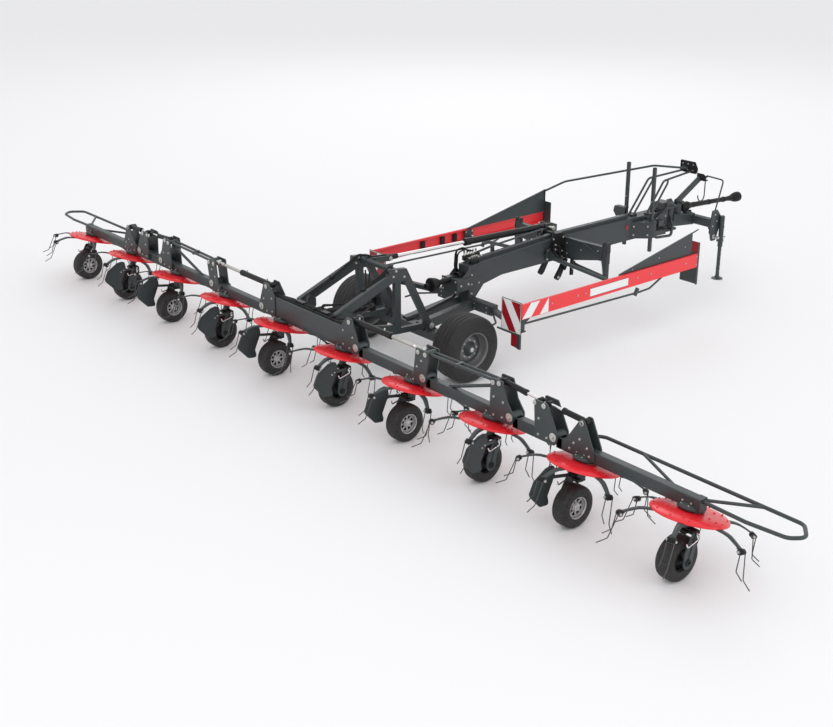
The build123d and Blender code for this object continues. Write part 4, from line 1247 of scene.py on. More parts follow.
def buildGuard(hand, base):
    rear, front, low, high = (guard[key] for key in ("rear", "front", "low", "high"))
    outside = guard["outside"]
    maker = Shaper(f"sideGuard.{hand}", "guardRed", base)
    # channel, open to the inside
    middle = (low + high) / 2
    webX = outside - 0.003
    maker.bar(at(webX, rear, middle), at(webX, front - 0.007, middle), 0.005, high - low)
    for z, way in ((low, 1), (high, -1)):
        flange = z + way * 0.0025
        maker.bar(at(outside - 0.015, rear, flange), at(outside - 0.015, front - 0.007, flange), 0.028, 0.005)
        lip = z + way * 0.012
        maker.bar(at(outside - 0.0275, rear, lip), at(outside - 0.0275, front - 0.007, lip), 0.004, 0.024)
    maker.paint("signWhite")
    for stripe in guard["stripes"]:
        outline = [(rear + y, low + z) for y, z in stripe]
        maker.framePlate(outline, outside + 0.0002, guard["film"], 0)
    start, end, foot, head = guard["strip"]
    maker.framePlate(
        [(start, foot), (end, foot), (end, head), (start, head)], outside + 0.0002, guard["film"], 0.004,
    )
    maker.paint("plastic")
    for z in (foot - 0.002, head + 0.002):
        maker.bar(at(outside + 0.0003, start, z), at(outside + 0.0003, end, z), 0.0014, 0.004)
    maker.bolts([at(outside, y, 0.846) for y in guard["bolts"]], alongX, 0.009)
    maker.bolts([at(outside, front - 0.050, z) for z in (0.79, 0.89)], alongX, 0.008)
    # brackets in the channel
    maker.paint("hinge")
    for y in guard["brackets"]:
        maker.bar(at(1.392, y, 0.790), at(1.392, y, 0.890), 0.026, 0.070, alongX, 0.006)
    # striped board, tail plate with its red face, and the ledge between them
    warningBoard(maker, rear, -1)
    inner, outer, low, high = guard["tail"]
    maker.paint("frame")
    maker.crossPlate([(inner, low + 0.015), (outer, low), (outer, high), (inner, high)], rear, 0.009, 0.006)
    maker.bar(
        at(outer - 0.022, rear - 0.012, low + 0.006), at(outer - 0.022, rear - 0.012, high + 0.01), 0.042,
        0.016,
    )
    maker.paint("darkRed")
    maker.crossPlate(
        [
            (inner + 0.008, low + 0.025), (outer - 0.048, low + 0.018), (outer - 0.048, high - 0.01),
            (inner + 0.008, high - 0.01),
        ],
        rear - 0.0055, 0.0016, 0.004,
    )
    maker.paint("frame")
    ledge = rear - 0.012
    maker.bar(at(inner - 0.220, ledge, 0.560), at(outer - 0.002, ledge, 0.556), 0.020, 0.018, alongY)
    # front board, cut to an L; its white side faces forward
    maker.crossPlate(
        [(1.130, 0.510), (outer, 0.510), (outer, 1.070), (1.262, 1.070), (1.262, 0.780), (1.130, 0.780)],
        front, 0.009, 0.006,
    )
    maker.paint("darkRed" if hand == "right" else "frame")
    maker.crossPlate(
        [(1.266, 0.925), (1.404, 0.925), (1.404, 1.064), (1.266, 1.064)], front - 0.0055, 0.0016, 0.004,
    )
    maker.paint("signWhite")
    maker.crossPlate(
        [(1.140, 0.520), (1.402, 0.520), (1.402, 0.770), (1.140, 0.770)], front + 0.0055, 0.0016, 0.004,
    )
    maker.paint("darkRed")
    for outline in (
        ((1.145, 0.525), (1.230, 0.525), (1.145, 0.640)),
        ((1.310, 0.525), (1.397, 0.525), (1.235, 0.765), (1.150, 0.765)),
    ):
        maker.crossPlate(outline, front + 0.0067, guard["film"], 0)
    # edge of the front board over the bar's end, gusset and thin tube under the bar
    maker.paint("frame")
    maker.bar(at(1.4125, front - 0.018, 0.510), at(1.4125, front - 0.018, 1.068), 0.005, 0.036)
    maker.framePlate([(rear, 0.640), (rear + 0.170, 0.752), (rear, 0.752)], 1.398, 0.006, 0.004)
    maker.tube(
        [
            at(1.398, rear, 0.690), at(1.396, rear + 2.050, 0.640), at(1.400, rear + 2.250, 0.650),
            at(1.400, rear + 2.500, 0.762),
        ],
        0.013, 12, 0.08,
    )
    maker.bar(at(1.397, rear + 1.98, 0.610), at(1.397, rear + 2.03, 0.700), 0.030, 0.050, alongX, 0.006)
    maker.place(f"side_guard_{hand}", edge=0.001)


def buildGuardSheet(hand, base):
    start, end = rowY + 3.730, rowY + guard["sheetEnd"][hand]
    peak = 0.934 + (end - start) * 0.206
    maker = Shaper(f"guardSheet.{hand}", "frame", base)
    maker.sidePlate([(start, 0.920), (start, 0.934), (end, peak), (end, 0.920)], 1.3817, 0.0045, 0.002)
    maker.bar((1.374, start + 0.010, 0.938), (1.374, end, peak - 0.001), 0.017, 0.004)
    maker.bar((1.374, end - 0.008, 0.925), (1.374, end - 0.008, peak - 0.004), 0.017, 0.004, alongX)
    maker.tube([(1.376, end - 0.110, peak - 0.030), (1.376, rowY + 5.235, 1.240)], 0.009, 10)
    maker.bolts([(1.3840, start + far, 0.934 + far * 0.10) for far in (0.25, 0.75, 1.25)], alongX, 0.007)
    maker.place(f"guard_sheet_{hand}", edge=0.001)


for hand, base in bothHands:
    buildGuard(hand, base)
    buildGuardSheet(hand, base)
print("guards ready")

# Rails over the drawbar and the plate that they meet at
rails = {
    "plateY": 6.700,
    "plateZ": 1.580,
    "radius": 0.015,
    "bows": (
        # x, foot, bend, height of the bend
        (-0.066, 5.560, 5.930, 1.540),
        (0.066, 5.780, 6.100, 1.500),
    ),
    "pair": 0.062,
}


def buildRails():
    maker = Shaper("frontRails", "frame")
    radius, plateY, plateZ = rails["radius"], rails["plateY"], rails["plateZ"]
    maker.tube(
        [
            at(-1.3635, 5.220, 1.226), at(-1.250, 5.510, 1.340), at(-0.250, 6.250, 1.640),
            at(0, plateY - 0.010, plateZ),
        ],
        radius, 14, 0.16, 6,
    )
    for x, foot, bend, height in rails["bows"]:
        maker.tube(
            [at(x, foot, 1.092), at(x, bend, height), at(x, plateY, plateZ - 0.030)], radius, 14, 0.09, 6,
        )
        slope = (plateZ - 0.030 - height) / (plateY - bend)
        top = bend + rails["pair"]
        maker.tube(
            [
                at(x + 0.058, foot + 0.030, 1.092), at(x + 0.050, top - 0.040, height - 0.030),
                at(x + 0.006, top + 0.020, height + slope * rails["pair"]),
            ],
            radius * 0.94, 14, 0.05,
        )
        maker.slab(
            [(-0.024, -0.050), (0.084, -0.050), (0.084, 0.066), (-0.024, 0.066)],
            at(x, foot + 0.014, 1.094), alongX, alongY, 0.020, 0.008,
        )
        maker.bolts(
            [at(x + dx, foot + dy, 1.104) for dx in (-0.014, 0.074) for dy in (-0.026, 0.070)], alongZ,
            0.006,
        )
    # plate with its sloping right shoulder
    maker.paint("hinge")
    maker.crossPlate(
        [(-0.130, 1.520), (0.150, 1.520), (0.170, 1.560), (0.170, 1.600), (0.120, 1.685), (-0.130, 1.685)],
        plateY, 0.012, 0.010,
    )
    maker.bar(at(-0.125, plateY - 0.004, 1.530), at(0.145, plateY - 0.004, 1.530), 0.026, 0.018, alongY)
    maker.bar(at(-0.123, plateY - 0.004, 1.525), at(-0.123, plateY - 0.004, 1.680), 0.012, 0.026)
    maker.bolts(
        [at(x, plateY - 0.006, z) for x in (-0.09, 0.0, 0.09) for z in (1.56, 1.64)], (0, -1, 0), 0.008,
        "zinc",
    )
    maker.paint("frame")
    maker.bar(
        at(-0.100, plateY - 0.012, plateZ), at(-0.020, plateY - 0.012, plateZ), 0.020, 0.050, alongY,
        0.006,
    )
    maker.place("front_rails", edge=0.0015)


# Hitch with the strut and the hose holder
hitch = {
    "swivelY": 6.350,
    "barY": 6.850,
    "plateX": 0.418,
    "holder": (0.080, 6.945, 1.430),
    "strutFoot": (0, 6.518, 1.132),
    "linkPinZ": 0.640,
    "hoseEnds": (-0.052, -0.018, 0.018, 0.052),
}


def buildHitch():
    barY, plateX = hitch["barY"], hitch["plateX"]
    maker = Shaper("hitchBeam", "frame")
    swivel = at(0, hitch["swivelY"], 0)
    # hollow swivel head with two collars
    head = (
        (0.786, 0.040), (0.786, 0.060), (0.792, 0.062), (0.826, 0.062), (0.830, 0.056), (1.030, 0.056),
        (1.034, 0.062), (1.068, 0.062), (1.074, 0.060), (1.074, 0.040),
    )
    maker.turned(head, swivel, alongZ, 40, closed=True)
    maker.bar(at(0, hitch["swivelY"] + 0.030, 0.879), at(0, barY, 0.830), 0.130, 0.168, alongX, 0.012)
    maker.bar(
        at(-plateX + 0.010, barY, 0.830), at(plateX - 0.010, barY, 0.830), 0.108, 0.118, alongY, 0.014,
    )
    for side in (-1, 1):
        x = side * plateX
        maker.paint("frame")
        maker.framePlate(
            [
                (barY - 0.058, 1.026), (barY + 0.048, 1.028), (6.988, 0.920), (6.988, 0.820),
                (barY + 0.050, 0.580), (barY - 0.050, 0.580), (barY - 0.080, 0.700), (barY - 0.080, 0.900),
            ],
            x, 0.018, 0.024,
        )
        maker.paint("zinc")
        pin = at(x, barY, hitch["linkPinZ"])
        maker.turned(((0.008, 0.018), (0.090, 0.018), (0.102, 0.016), (0.108, 0.008)), pin, (side, 0, 0), 28)
        maker.turned(((0.009, 0.034), (0.016, 0.034), (0.018, 0.030)), pin, (side, 0, 0), 28)
        maker.rod(pin + Vector((side * 0.088, 0, -0.024)), alongZ, 0, 0.050, 0.004, 10)
        maker.bolts(
            [
                at(x + side * 0.009, barY + dy, z)
                for dy, z in ((-0.040, 0.800), (0.045, 0.860), (0.000, 0.960))
            ],
            (side, 0, 0), 0.010,
        )
        maker.paint("frame")
        maker.bar(
            at(side * (plateX - 0.060), barY, 0.700), at(side * (plateX - 0.008), barY, 0.700), 0.060,
            0.060, alongY, 0.008,
        )
        maker.crossPlate(
            [(side * 0.300, 0.772), (side * 0.410, 0.640), (side * 0.410, 0.772)], barY, 0.012, 0.004,
        )
    # bearing stand of the drive shaft
    for way in (-1, 1):
        maker.framePlate(
            [(6.700, 0.830), (6.700, 0.966), (6.790, 0.966), (6.868, 0.830)], way * 0.036, 0.014, 0.008,
        )
    maker.bar(at(0, 6.704, 0.958), at(0, 6.788, 0.958), 0.086, 0.016, alongX)
    # foot of the strut, the strut and the head that holds the hoses
    footX, footY, footZ = hitch["strutFoot"]
    for way in (-1, 1):
        maker.framePlate(
            [
                (footY - 0.037, 0.900), (footY - 0.037, footZ + 0.010), (footY - 0.017, footZ + 0.027),
                (footY + 0.026, footZ + 0.027), (footY + 0.056, footZ - 0.012), (footY + 0.056, 0.900),
            ],
            way * 0.028, 0.012, 0.010,
        )
    maker.bar(at(0, footY - 0.028, 0.900), at(0, footY - 0.028, 1.060), 0.050, 0.012)
    holderX, holderY, holderZ = hitch["holder"]
    strutEnd = at(holderX - 0.050, holderY - 0.010, holderZ - 0.030)
    maker.turned(((-0.022, 0.021), (-0.020, 0.0245), (0.100, 0.0245)), at(footX, footY, footZ), alongX, 24)
    maker.tube([at(footX, footY, footZ), strutEnd], 0.040, 24)
    maker.paint("zinc")
    maker.rod(at(footX, footY, footZ + 0.002), alongX, -0.036, 0.036, 0.011, 16)
    for way in (-1, 1):
        maker.bolt(at(way * 0.034, footY, footZ + 0.002), (way, 0, 0), 0.013)
    maker.paint("hinge")
    maker.crossPlate(
        [
            (holderX - 0.080, holderZ - 0.050), (holderX + 0.080, holderZ - 0.050),
            (holderX + 0.080, holderZ + 0.020), (holderX + 0.030, holderZ + 0.050),
            (holderX - 0.080, holderZ + 0.050),
        ],
        holderY - 0.026, 0.012, 0.008,
    )
    maker.bar(
        at(holderX - 0.074, holderY, holderZ - 0.042), at(holderX + 0.076, holderY, holderZ - 0.042), 0.060,
        0.014, alongY,
    )
    for far in hitch["hoseEnds"]:
        maker.paint("hinge")
        maker.rod(at(holderX + far, holderY, holderZ + 0.006), alongY, -0.030, 0.026, 0.015, 14)
        maker.paint("zinc")
        maker.rod(at(holderX + far, holderY, holderZ + 0.006), alongY, 0.026, 0.034, 0.011, 12)
    # hook that hangs from the head, and the rod down to the link plate
    maker.paint("frame")
    hookX = holderX + 0.060
    maker.tube(
        [
            at(hookX, 6.935, 1.385), at(hookX, 6.935, 1.180), at(hookX, 6.922, 1.128),
            at(hookX, 6.880, 1.100), at(hookX, 6.828, 1.110), at(hookX, 6.796, 1.150),
            at(hookX, 6.786, 1.196),
        ],
        0.0085, 12, 0.05, 5,
    )
    maker.tube(
        [
            at(plateX - 0.040, barY + 0.010, 0.870), at(plateX - 0.040, barY + 0.190, 1.420),
            at(holderX + 0.060, holderY + 0.010, holderZ + 0.025),
        ],
        0.0108, 12, 0.05, 5,
    )
    maker.bar(
        at(plateX - 0.052, barY + 0.004, 0.880), at(plateX - 0.008, barY + 0.004, 0.880), 0.040, 0.040,
        alongY, 0.006,
    )
    maker.place("hitch", edge=0.0015)


# Parking jack, the drive shaft and the shaft to the row
jack = {"x": 0.464, "y": 6.970, "outside": 0.0362, "legHoles": (0.120, 0.190, 0.260, 0.330, 0.400)}


def buildJack():
    jackX, jackY = jack["x"], jack["y"]
    place = at(jackX, jackY, 0)
    maker = Shaper("jackTube", "frame")
    maker.turned(
        (
            (0.481, 0.0315), (0.481, 0.036), (0.486, 0.0362), (0.920, 0.0362), (0.932, 0.034),
            (0.934, 0.016), (0.9305, 0.016), (0.9285, 0.0315),
        ),
        place, alongZ, 32, closed=True,
    )
    for z in (0.560, 0.760):
        maker.collar(place, alongZ, z, 0.028, jack["outside"], 0.040, 28)
        maker.bar(
            at(jackX - 0.0345, jackY, z + 0.014), at(jackX - 0.0520, jackY, z + 0.014), 0.050, 0.050,
            alongY,
        )
    maker.paint("zinc")
    maker.turned(((0.0, 0.008), (0.040, 0.008), (0.044, 0.005)), at(jackX + 0.034, jackY, 0.640), alongX, 14)
    maker.tube(
        [
            at(jackX + 0.070, jackY, 0.640), at(jackX + 0.072, jackY - 0.030, 0.600),
            at(jackX + 0.072, jackY - 0.010, 0.560),
        ],
        0.004, 8, 0.02,
    )
    maker.place("jack_tube", edge=0.001)
    maker = Shaper("jackLeg", "frame")
    maker.turned(((0.010, 0.0255), (0.014, 0.0265), (0.564, 0.0265), (0.568, 0.025)), place, alongZ, 28)
    maker.turned(
        (
            (0.0, 0.055), (0.0, 0.077), (0.004, 0.081), (0.009, 0.080), (0.012, 0.062), (0.020, 0.036),
            (0.050, 0.030), (0.050, 0.020),
        ),
        place, alongZ, 32,
    )
    maker.paint("zinc")
    for z in jack["legHoles"]:
        maker.rod(place + alongZ * z, alongX, -0.0275, 0.0275, 0.007, 12)
    maker.place("jack_leg", edge=0.001)


def buildDriveShaft():
    # Bell at the hitch, guard tube, and the cone with the tractor's yoke
    maker = Shaper("driveShaft", "plastic")
    bell = at(0, 6.592, 1.030)
    maker.turned(
        (
            (0.0, 0.040), (0.004, 0.056), (0.012, 0.062), (0.150, 0.062), (0.158, 0.058), (0.176, 0.052),
            (0.184, 0.044), (0.190, 0.038),
        ),
        bell, alongY, 36,
    )
    for far in (0.030, 0.060, 0.090, 0.120):
        maker.collar(bell, alongY, far, 0.012, 0.0615, 0.0622, 36)
    start, end = at(0, 6.770, 1.025), at(0, 7.800, 0.970)
    reach = (end - start).length
    shaft = (
        (0.000, 0.046), (0.030, 0.046), (0.050, 0.038), (0.430, 0.037), (0.436, 0.034), (0.470, 0.034),
        (reach - 0.120, 0.034), (reach - 0.090, 0.038), (reach - 0.020, 0.044),
    )
    maker.turned(shaft, start, end - start, 32)
    for far in (0.10, 0.46, 0.80):
        maker.collar(start, end - start, far, 0.022, 0.036, 0.0405)
    # cone guard with its folds, and the yoke inside it
    cone = (
        (-0.150, 0.040), (-0.140, 0.056), (-0.120, 0.060), (-0.112, 0.056), (-0.104, 0.066),
        (-0.084, 0.067), (-0.076, 0.063), (-0.068, 0.072), (-0.020, 0.073), (-0.004, 0.071), (0.0, 0.066),
        (0.0, 0.056), (-0.060, 0.048), (-0.120, 0.036),
    )
    tip = at(0, 7.940, 0.970)
    maker.turned(cone, tip, alongY, 36, closed=True)
    maker.paint("zinc")
    hub = (
        (-0.100, 0.018), (-0.100, 0.034), (-0.012, 0.036), (-0.006, 0.032), (-0.002, 0.030),
        (-0.002, 0.0178),
    )
    maker.turned(hub, tip, alongY, 32, closed=True)
    maker.place("pto_shaft", edge=0.001)


def buildRowShaft():
    # Cone and guard tube of the shaft that runs from the drawbar to the row
    maker = Shaper("rowShaft", "plastic")
    rearY = 2.430
    cone = (
        (0.0, 0.030), (0.0, 0.045), (0.014, 0.060), (0.090, 0.066), (0.116, 0.066), (0.118, 0.060),
        (0.080, 0.052), (0.050, 0.034),
    )
    maker.turned(cone, at(0, rearY, 0.860), (0, -1, 0), 36, closed=True)
    start, end = at(0, rearY - 0.050, 0.860), at(0, rearY - 0.620, 0.850)
    shaft = (
        (0.0, 0.030), (0.060, 0.035), (0.300, 0.0355), (0.306, 0.032), (0.500, 0.032), (0.520, 0.035),
        (0.568, 0.035),
    )
    maker.turned(shaft, start, end - start, 32)
    for far in (0.10, 0.34, 0.46):
        maker.collar(start, end - start, far, 0.018, 0.033, 0.0360)
    maker.place("rear_shaft", edge=0.001)


buildRails()
buildHitch()
buildJack()
buildDriveShaft()
buildRowShaft()
print("rails, hitch and shafts ready")

# Trim of the chassis and the lift frame
cradle = {"y": 4.150, "reach": 0.820, "low": 0.660, "high": 1.090}


def buildCradles():
    # Arms beside the drawbar that the folded wings rest between
    y, reach, low, high = (cradle[key] for key in ("y", "reach", "low", "high"))
    for hand, base in bothHands:
        maker = Shaper(f"wingCradle.{hand}", "frame", base)
        for way in (-1, 1):
            maker.crossPlate(
                [
                    (0.090, 0.790), (0.300, 0.800), (0.700, high - 0.200), (0.755, high - 0.200),
                    (0.755, high - 0.010), (0.300, high - 0.020), (0.090, high - 0.030),
                ],
                y + way * 0.034, 0.008, 0.016,
            )
        for start, end in (
            ((0.092, y, high - 0.034), (0.752, y, high - 0.016)), ((0.092, y, 0.797), (0.300, y, 0.806)),
            ((0.300, y, 0.806), (0.700, y, high - 0.196)),
        ):
            maker.bar(at(*start), at(*end), 0.064, 0.008, alongY)
        maker.bar(at(0.093, y - 0.010, 0.930), at(0.107, y - 0.010, 0.930), 0.190, 0.280, alongY, 0.010)
        # end post, its two prongs and the stay under the arm
        maker.loft([
            [
                at(x, y + dy, z)
                for x, dy in (
                    (reach - 0.070, -0.032), (reach + 0.016, -0.032), (reach + 0.016, 0.032),
                    (reach - 0.070, 0.032),
                )
            ]
            for z in (0.860, high)
        ])
        maker.loft([
            [
                at(x, y + dy, z)
                for x, dy in (
                    (left, -0.028), (reach + 0.012, -0.028), (reach + 0.012, 0.028), (left, 0.028),
                )
            ]
            for left, z in ((reach - 0.030, low), (reach - 0.068, 0.862))
        ])
        for x in (reach - 0.060, reach + 0.006):
            maker.framePlate(
                [
                    (y - 0.046, high - 0.090), (y + 0.046, high - 0.090), (y + 0.040, high + 0.052),
                    (y - 0.026, high + 0.052),
                ],
                x, 0.010, 0.014,
            )
        maker.tube(
            [at(0.200, y + 0.010, 0.742), at(0.330, y + 0.006, 0.722), at(reach - 0.010, y, low + 0.020)],
            0.019, 14, 0.06,
        )
        maker.tube(
            [at(0.110, y - 0.050, 1.075), at(0.420, y - 0.054, 1.070), at(reach - 0.060, y - 0.044, 0.960)],
            0.007, 8, 0.06,
        )
        maker.paint("hinge")
        # latch and its guide below the arm
        maker.framePlate(
            [
                (y - 0.150, 0.700), (y - 0.250, 0.560), (y - 0.200, 0.520), (y - 0.150, 0.560),
                (y - 0.020, 0.790), (y - 0.100, 0.800),
            ],
            0.150, 0.040, 0.018,
        )
        maker.bar(at(0.245, y - 0.030, 0.800), at(0.250, y - 0.040, 0.590), 0.034, 0.050, alongX, 0.010)
        maker.tube(
            [at(0.110, y - 0.170, 0.760), at(0.260, y - 0.120, 0.740), at(0.320, y - 0.050, 0.790)], 0.011,
            10, 0.04,
        )
        maker.bolts([at(0.172, y - 0.100, 0.760), at(0.172, y - 0.205, 0.570)], alongX, 0.014)
        maker.bolts([at(0.268, y - 0.034, 0.760), at(0.268, y - 0.040, 0.680)], alongX, 0.012)
        maker.bolts(
            [
                at(x, y - 0.038, z)
                for x, z in ((0.150, 0.860), (0.150, 1.000), (0.400, 0.960), (0.690, 1.010))
            ],
            (0, -1, 0), 0.009,
        )
        maker.place(body="chassis", edge=0.0015)


guardArm = {"innerY": 3.860, "outerY": 3.760, "radius": 0.025}


def buildGuardArms():
    # Slim tubes between the drawbar and the guards, with the plates at their ends
    innerY, outerY = guardArm["innerY"], guardArm["outerY"]
    maker = Shaper("guardArms", "frame")
    for side in (-1, 1):
        ends = [at(side * 0.110, innerY, 0.842), at(side * 1.372, outerY + 0.002, 0.802)]
        maker.tube(ends, guardArm["radius"], 16)
        maker.bar(
            at(side * 0.091, innerY, 0.890), at(side * 0.110, innerY, 0.890), 0.190, 0.160, alongY, 0.010,
        )
        maker.bar(
            at(side * 1.362, outerY, 0.840), at(side * 1.379, outerY, 0.840), 0.150, 0.140, alongY, 0.010,
        )
        for way in (-1, 1):
            maker.crossPlate(
                [
                    (side * 0.105, 0.820), (side * 0.260, 0.820), (side * 0.260, 0.850),
                    (side * 0.105, 0.950),
                ],
                innerY - 0.005 + way * 0.028, 0.006, 0.006,
            )
        for far in (-0.070, 0.070):
            maker.bolts([at(side * 0.110, innerY + far, z) for z in (0.830, 0.950)], (side, 0, 0), 0.010)
            maker.bolts(
                [at(side * 1.362, outerY + far * 0.8, z) for z in (0.790, 0.890)], (-side, 0, 0), 0.009,
            )
    maker.place("guard_arms", edge=0.001)


def buildCylinderSaddle():
    # Bracket over the drawbar at the base of the lift cylinder
    maker = Shaper("cylinderSaddle", "hinge")
    outline = (
        (3.840, 0.960), (3.870, 1.090), (3.930, 1.135), (4.060, 1.140), (4.120, 1.060), (4.100, 0.860),
        (3.990, 0.760), (3.900, 0.800),
    )
    maker.framePlate(outline, 0.104, 0.022, 0.020)
    maker.bar(at(-0.150, 4.000, 1.138), at(0.112, 4.000, 1.138), 0.120, 0.016, alongY, 0.004)
    for y in (3.950, 4.050):
        maker.framePlate(
            [(y - 0.020, 1.060), (y + 0.020, 1.060), (y + 0.014, 1.200), (y - 0.014, 1.200)], -0.145, 0.012,
            0.010,
        )
    maker.bar(at(0.120, 3.900, 0.930), at(0.120, 3.900, 1.030), 0.040, 0.060, alongX, 0.008)
    maker.bar(at(0.124, 4.020, 0.860), at(0.124, 4.020, 0.960), 0.044, 0.070, alongX, 0.008)
    maker.paint("zinc")
    maker.turned(
        ((0.0, 0.020), (0.085, 0.020), (0.088, 0.030), (0.100, 0.030), (0.104, 0.024)),
        at(-0.140, 4.050, 1.165), alongX, 24,
    )
    maker.bolts(
        [at(0.115, y, z) for y, z in ((3.890, 1.080), (4.070, 1.080), (3.930, 0.830), (4.060, 0.820))],
        alongX, 0.012,
    )
    unions = ((3.900, 0.950), (3.900, 1.010), (4.020, 0.910))
    for y, z in unions:
        maker.turned(
            ((0.0, 0.013), (0.016, 0.013), (0.018, 0.009), (0.034, 0.009)), at(0.140, y, z), alongX, 12,
        )
    maker.paint("hose")
    for spot, (y, z) in enumerate(unions):
        drop = 0.030 * spot
        maker.tube(
            [
                at(0.170, y, z), at(0.205, y + 0.010, z - 0.010), at(0.220, y + 0.030, z - 0.130 - drop),
                at(0.190, 4.040, 0.700 - drop), at(0.140, 4.120, 0.740), at(0.060, 4.180, 0.765),
            ],
            0.0095, 10, 0.06, 5,
        )
    maker.tube(
        [
            at(0.060, 3.940, 1.150), at(0.100, 3.900, 1.185), at(0.135, 3.850, 1.130),
            at(0.130, 3.780, 0.980), at(0.100, 3.740, 0.900),
        ],
        0.0095, 10, 0.06, 5,
    )
    maker.place(body="chassis", edge=0.001)


def buildRearExtension():
    # Narrow housing behind the drawbar, and the cone of the row's shaft
    maker = Shaper("drawbarRear", "frame")
    maker.bar(at(0, 2.210, 0.790), at(0, 2.432, 0.790), 0.270, 0.160, alongX, 0.010)
    maker.crossPlate(
        [(-0.145, 0.690), (0.145, 0.690), (0.145, 0.882), (-0.145, 0.882)], 2.206, 0.012, 0.016,
    )
    for side in (-1, 1):
        maker.framePlate([(2.300, 0.872), (2.436, 0.872), (2.436, 0.990)], side * 0.120, 0.010, 0.006)
    maker.paint("zinc")
    maker.bolts([at(side * 0.115, 2.200, z) for side in (-1, 1) for z in (0.720, 0.850)], (0, -1, 0), 0.012)
    maker.bolts([at(side * 0.135, y, 0.790) for side in (-1, 1) for y in (2.270, 2.390)], alongX, 0.012)
    maker.paint("plastic")
    maker.turned(
        (
            (0.0, 0.046), (0.004, 0.084), (0.012, 0.088), (0.040, 0.086), (0.085, 0.074), (0.130, 0.056),
            (0.150, 0.040),
        ),
        at(0, 1.880, 0.852), alongY, 36,
    )
    maker.place(body="chassis", edge=0.0015)


hoseRun = {"top": 0.946, "depths": (beamY - rowY, beamY - rowY + 0.026)}


def buildRowHoses():
    # Hoses along the middle beam, then forward into the lift frame
    maker = Shaper("rowHoses", "hose")
    top = hoseRun["top"]
    for spot, depth in enumerate(hoseRun["depths"]):
        lift = top + 0.004 * spot
        maker.tube(
            [
                at(-0.560, depth, top - 0.010), at(-0.400, depth, lift),
                at(0.050, depth + 0.010, lift + 0.006), at(0.480, depth + 0.020, lift),
                at(0.620, depth + 0.080, lift + 0.020), at(0.560, 0.330, 0.960), at(0.300, 0.620, 0.850),
                at(0.085, 0.860, 0.800), at(0.045, 0.980, 0.800),
            ],
            0.0105, 10, 0.09, 5,
        )
    maker.paint("plastic")
    for x in (-0.300, 0.060, 0.400):
        maker.bar(
            at(x, hoseRun["depths"][0] - 0.024, top + 0.002),
            at(x, hoseRun["depths"][-1] + 0.034, top + 0.004), 0.030, 0.036, alongX, 0.006,
        )
    maker.place(body=nodeBody["lift_frame"], edge=0)


def buildRowDrive():
    # Shaft in front of the row's gearbox, which lifts with the row
    maker = Shaper("rowDrive", "plastic")
    start, end = at(0, 0.395, 0.812), at(0, 1.010, 0.762)
    reach = (end - start).length
    maker.turned(
        (
            (0.0, 0.054), (0.016, 0.062), (0.080, 0.058), (0.110, 0.048), (0.130, 0.036), (0.360, 0.036),
            (0.366, 0.031), (reach - 0.050, 0.031), (reach - 0.045, 0.046), (reach, 0.050),
        ),
        start, end - start, 32,
    )
    for far in (0.160, 0.330, 0.480):
        maker.collar(start, end - start, far, 0.020, 0.034, 0.039)
    maker.paint("hose")
    for spot, x in enumerate((-0.060, -0.040, 0.045)):
        maker.tube(
            [
                at(x, 0.300, 0.895), at(x, 0.330, 0.930 - 0.01 * spot), at(x * 1.2, 0.450, 0.900),
                at(x * 1.4, 0.760, 0.860), at(x * 2.4, 1.020, 0.960), at(x * 4.0, 1.085, 1.150),
            ],
            0.0095, 10, 0.08, 5,
        )
    maker.place(body=nodeBody["lift_frame"], edge=0.0015)


post = {"x": 0.230, "y": 5.690, "low": 0.600, "high": 1.768, "size": 0.044}
drawbar = {
    "side": 0.0905,
    "ridge": ((2.490, 1.046), (3.950, 1.126)),  # its rising part: distance ahead of the row, height
    "ridgeBolts": (3.05, 3.60, 4.70, 5.25),
}


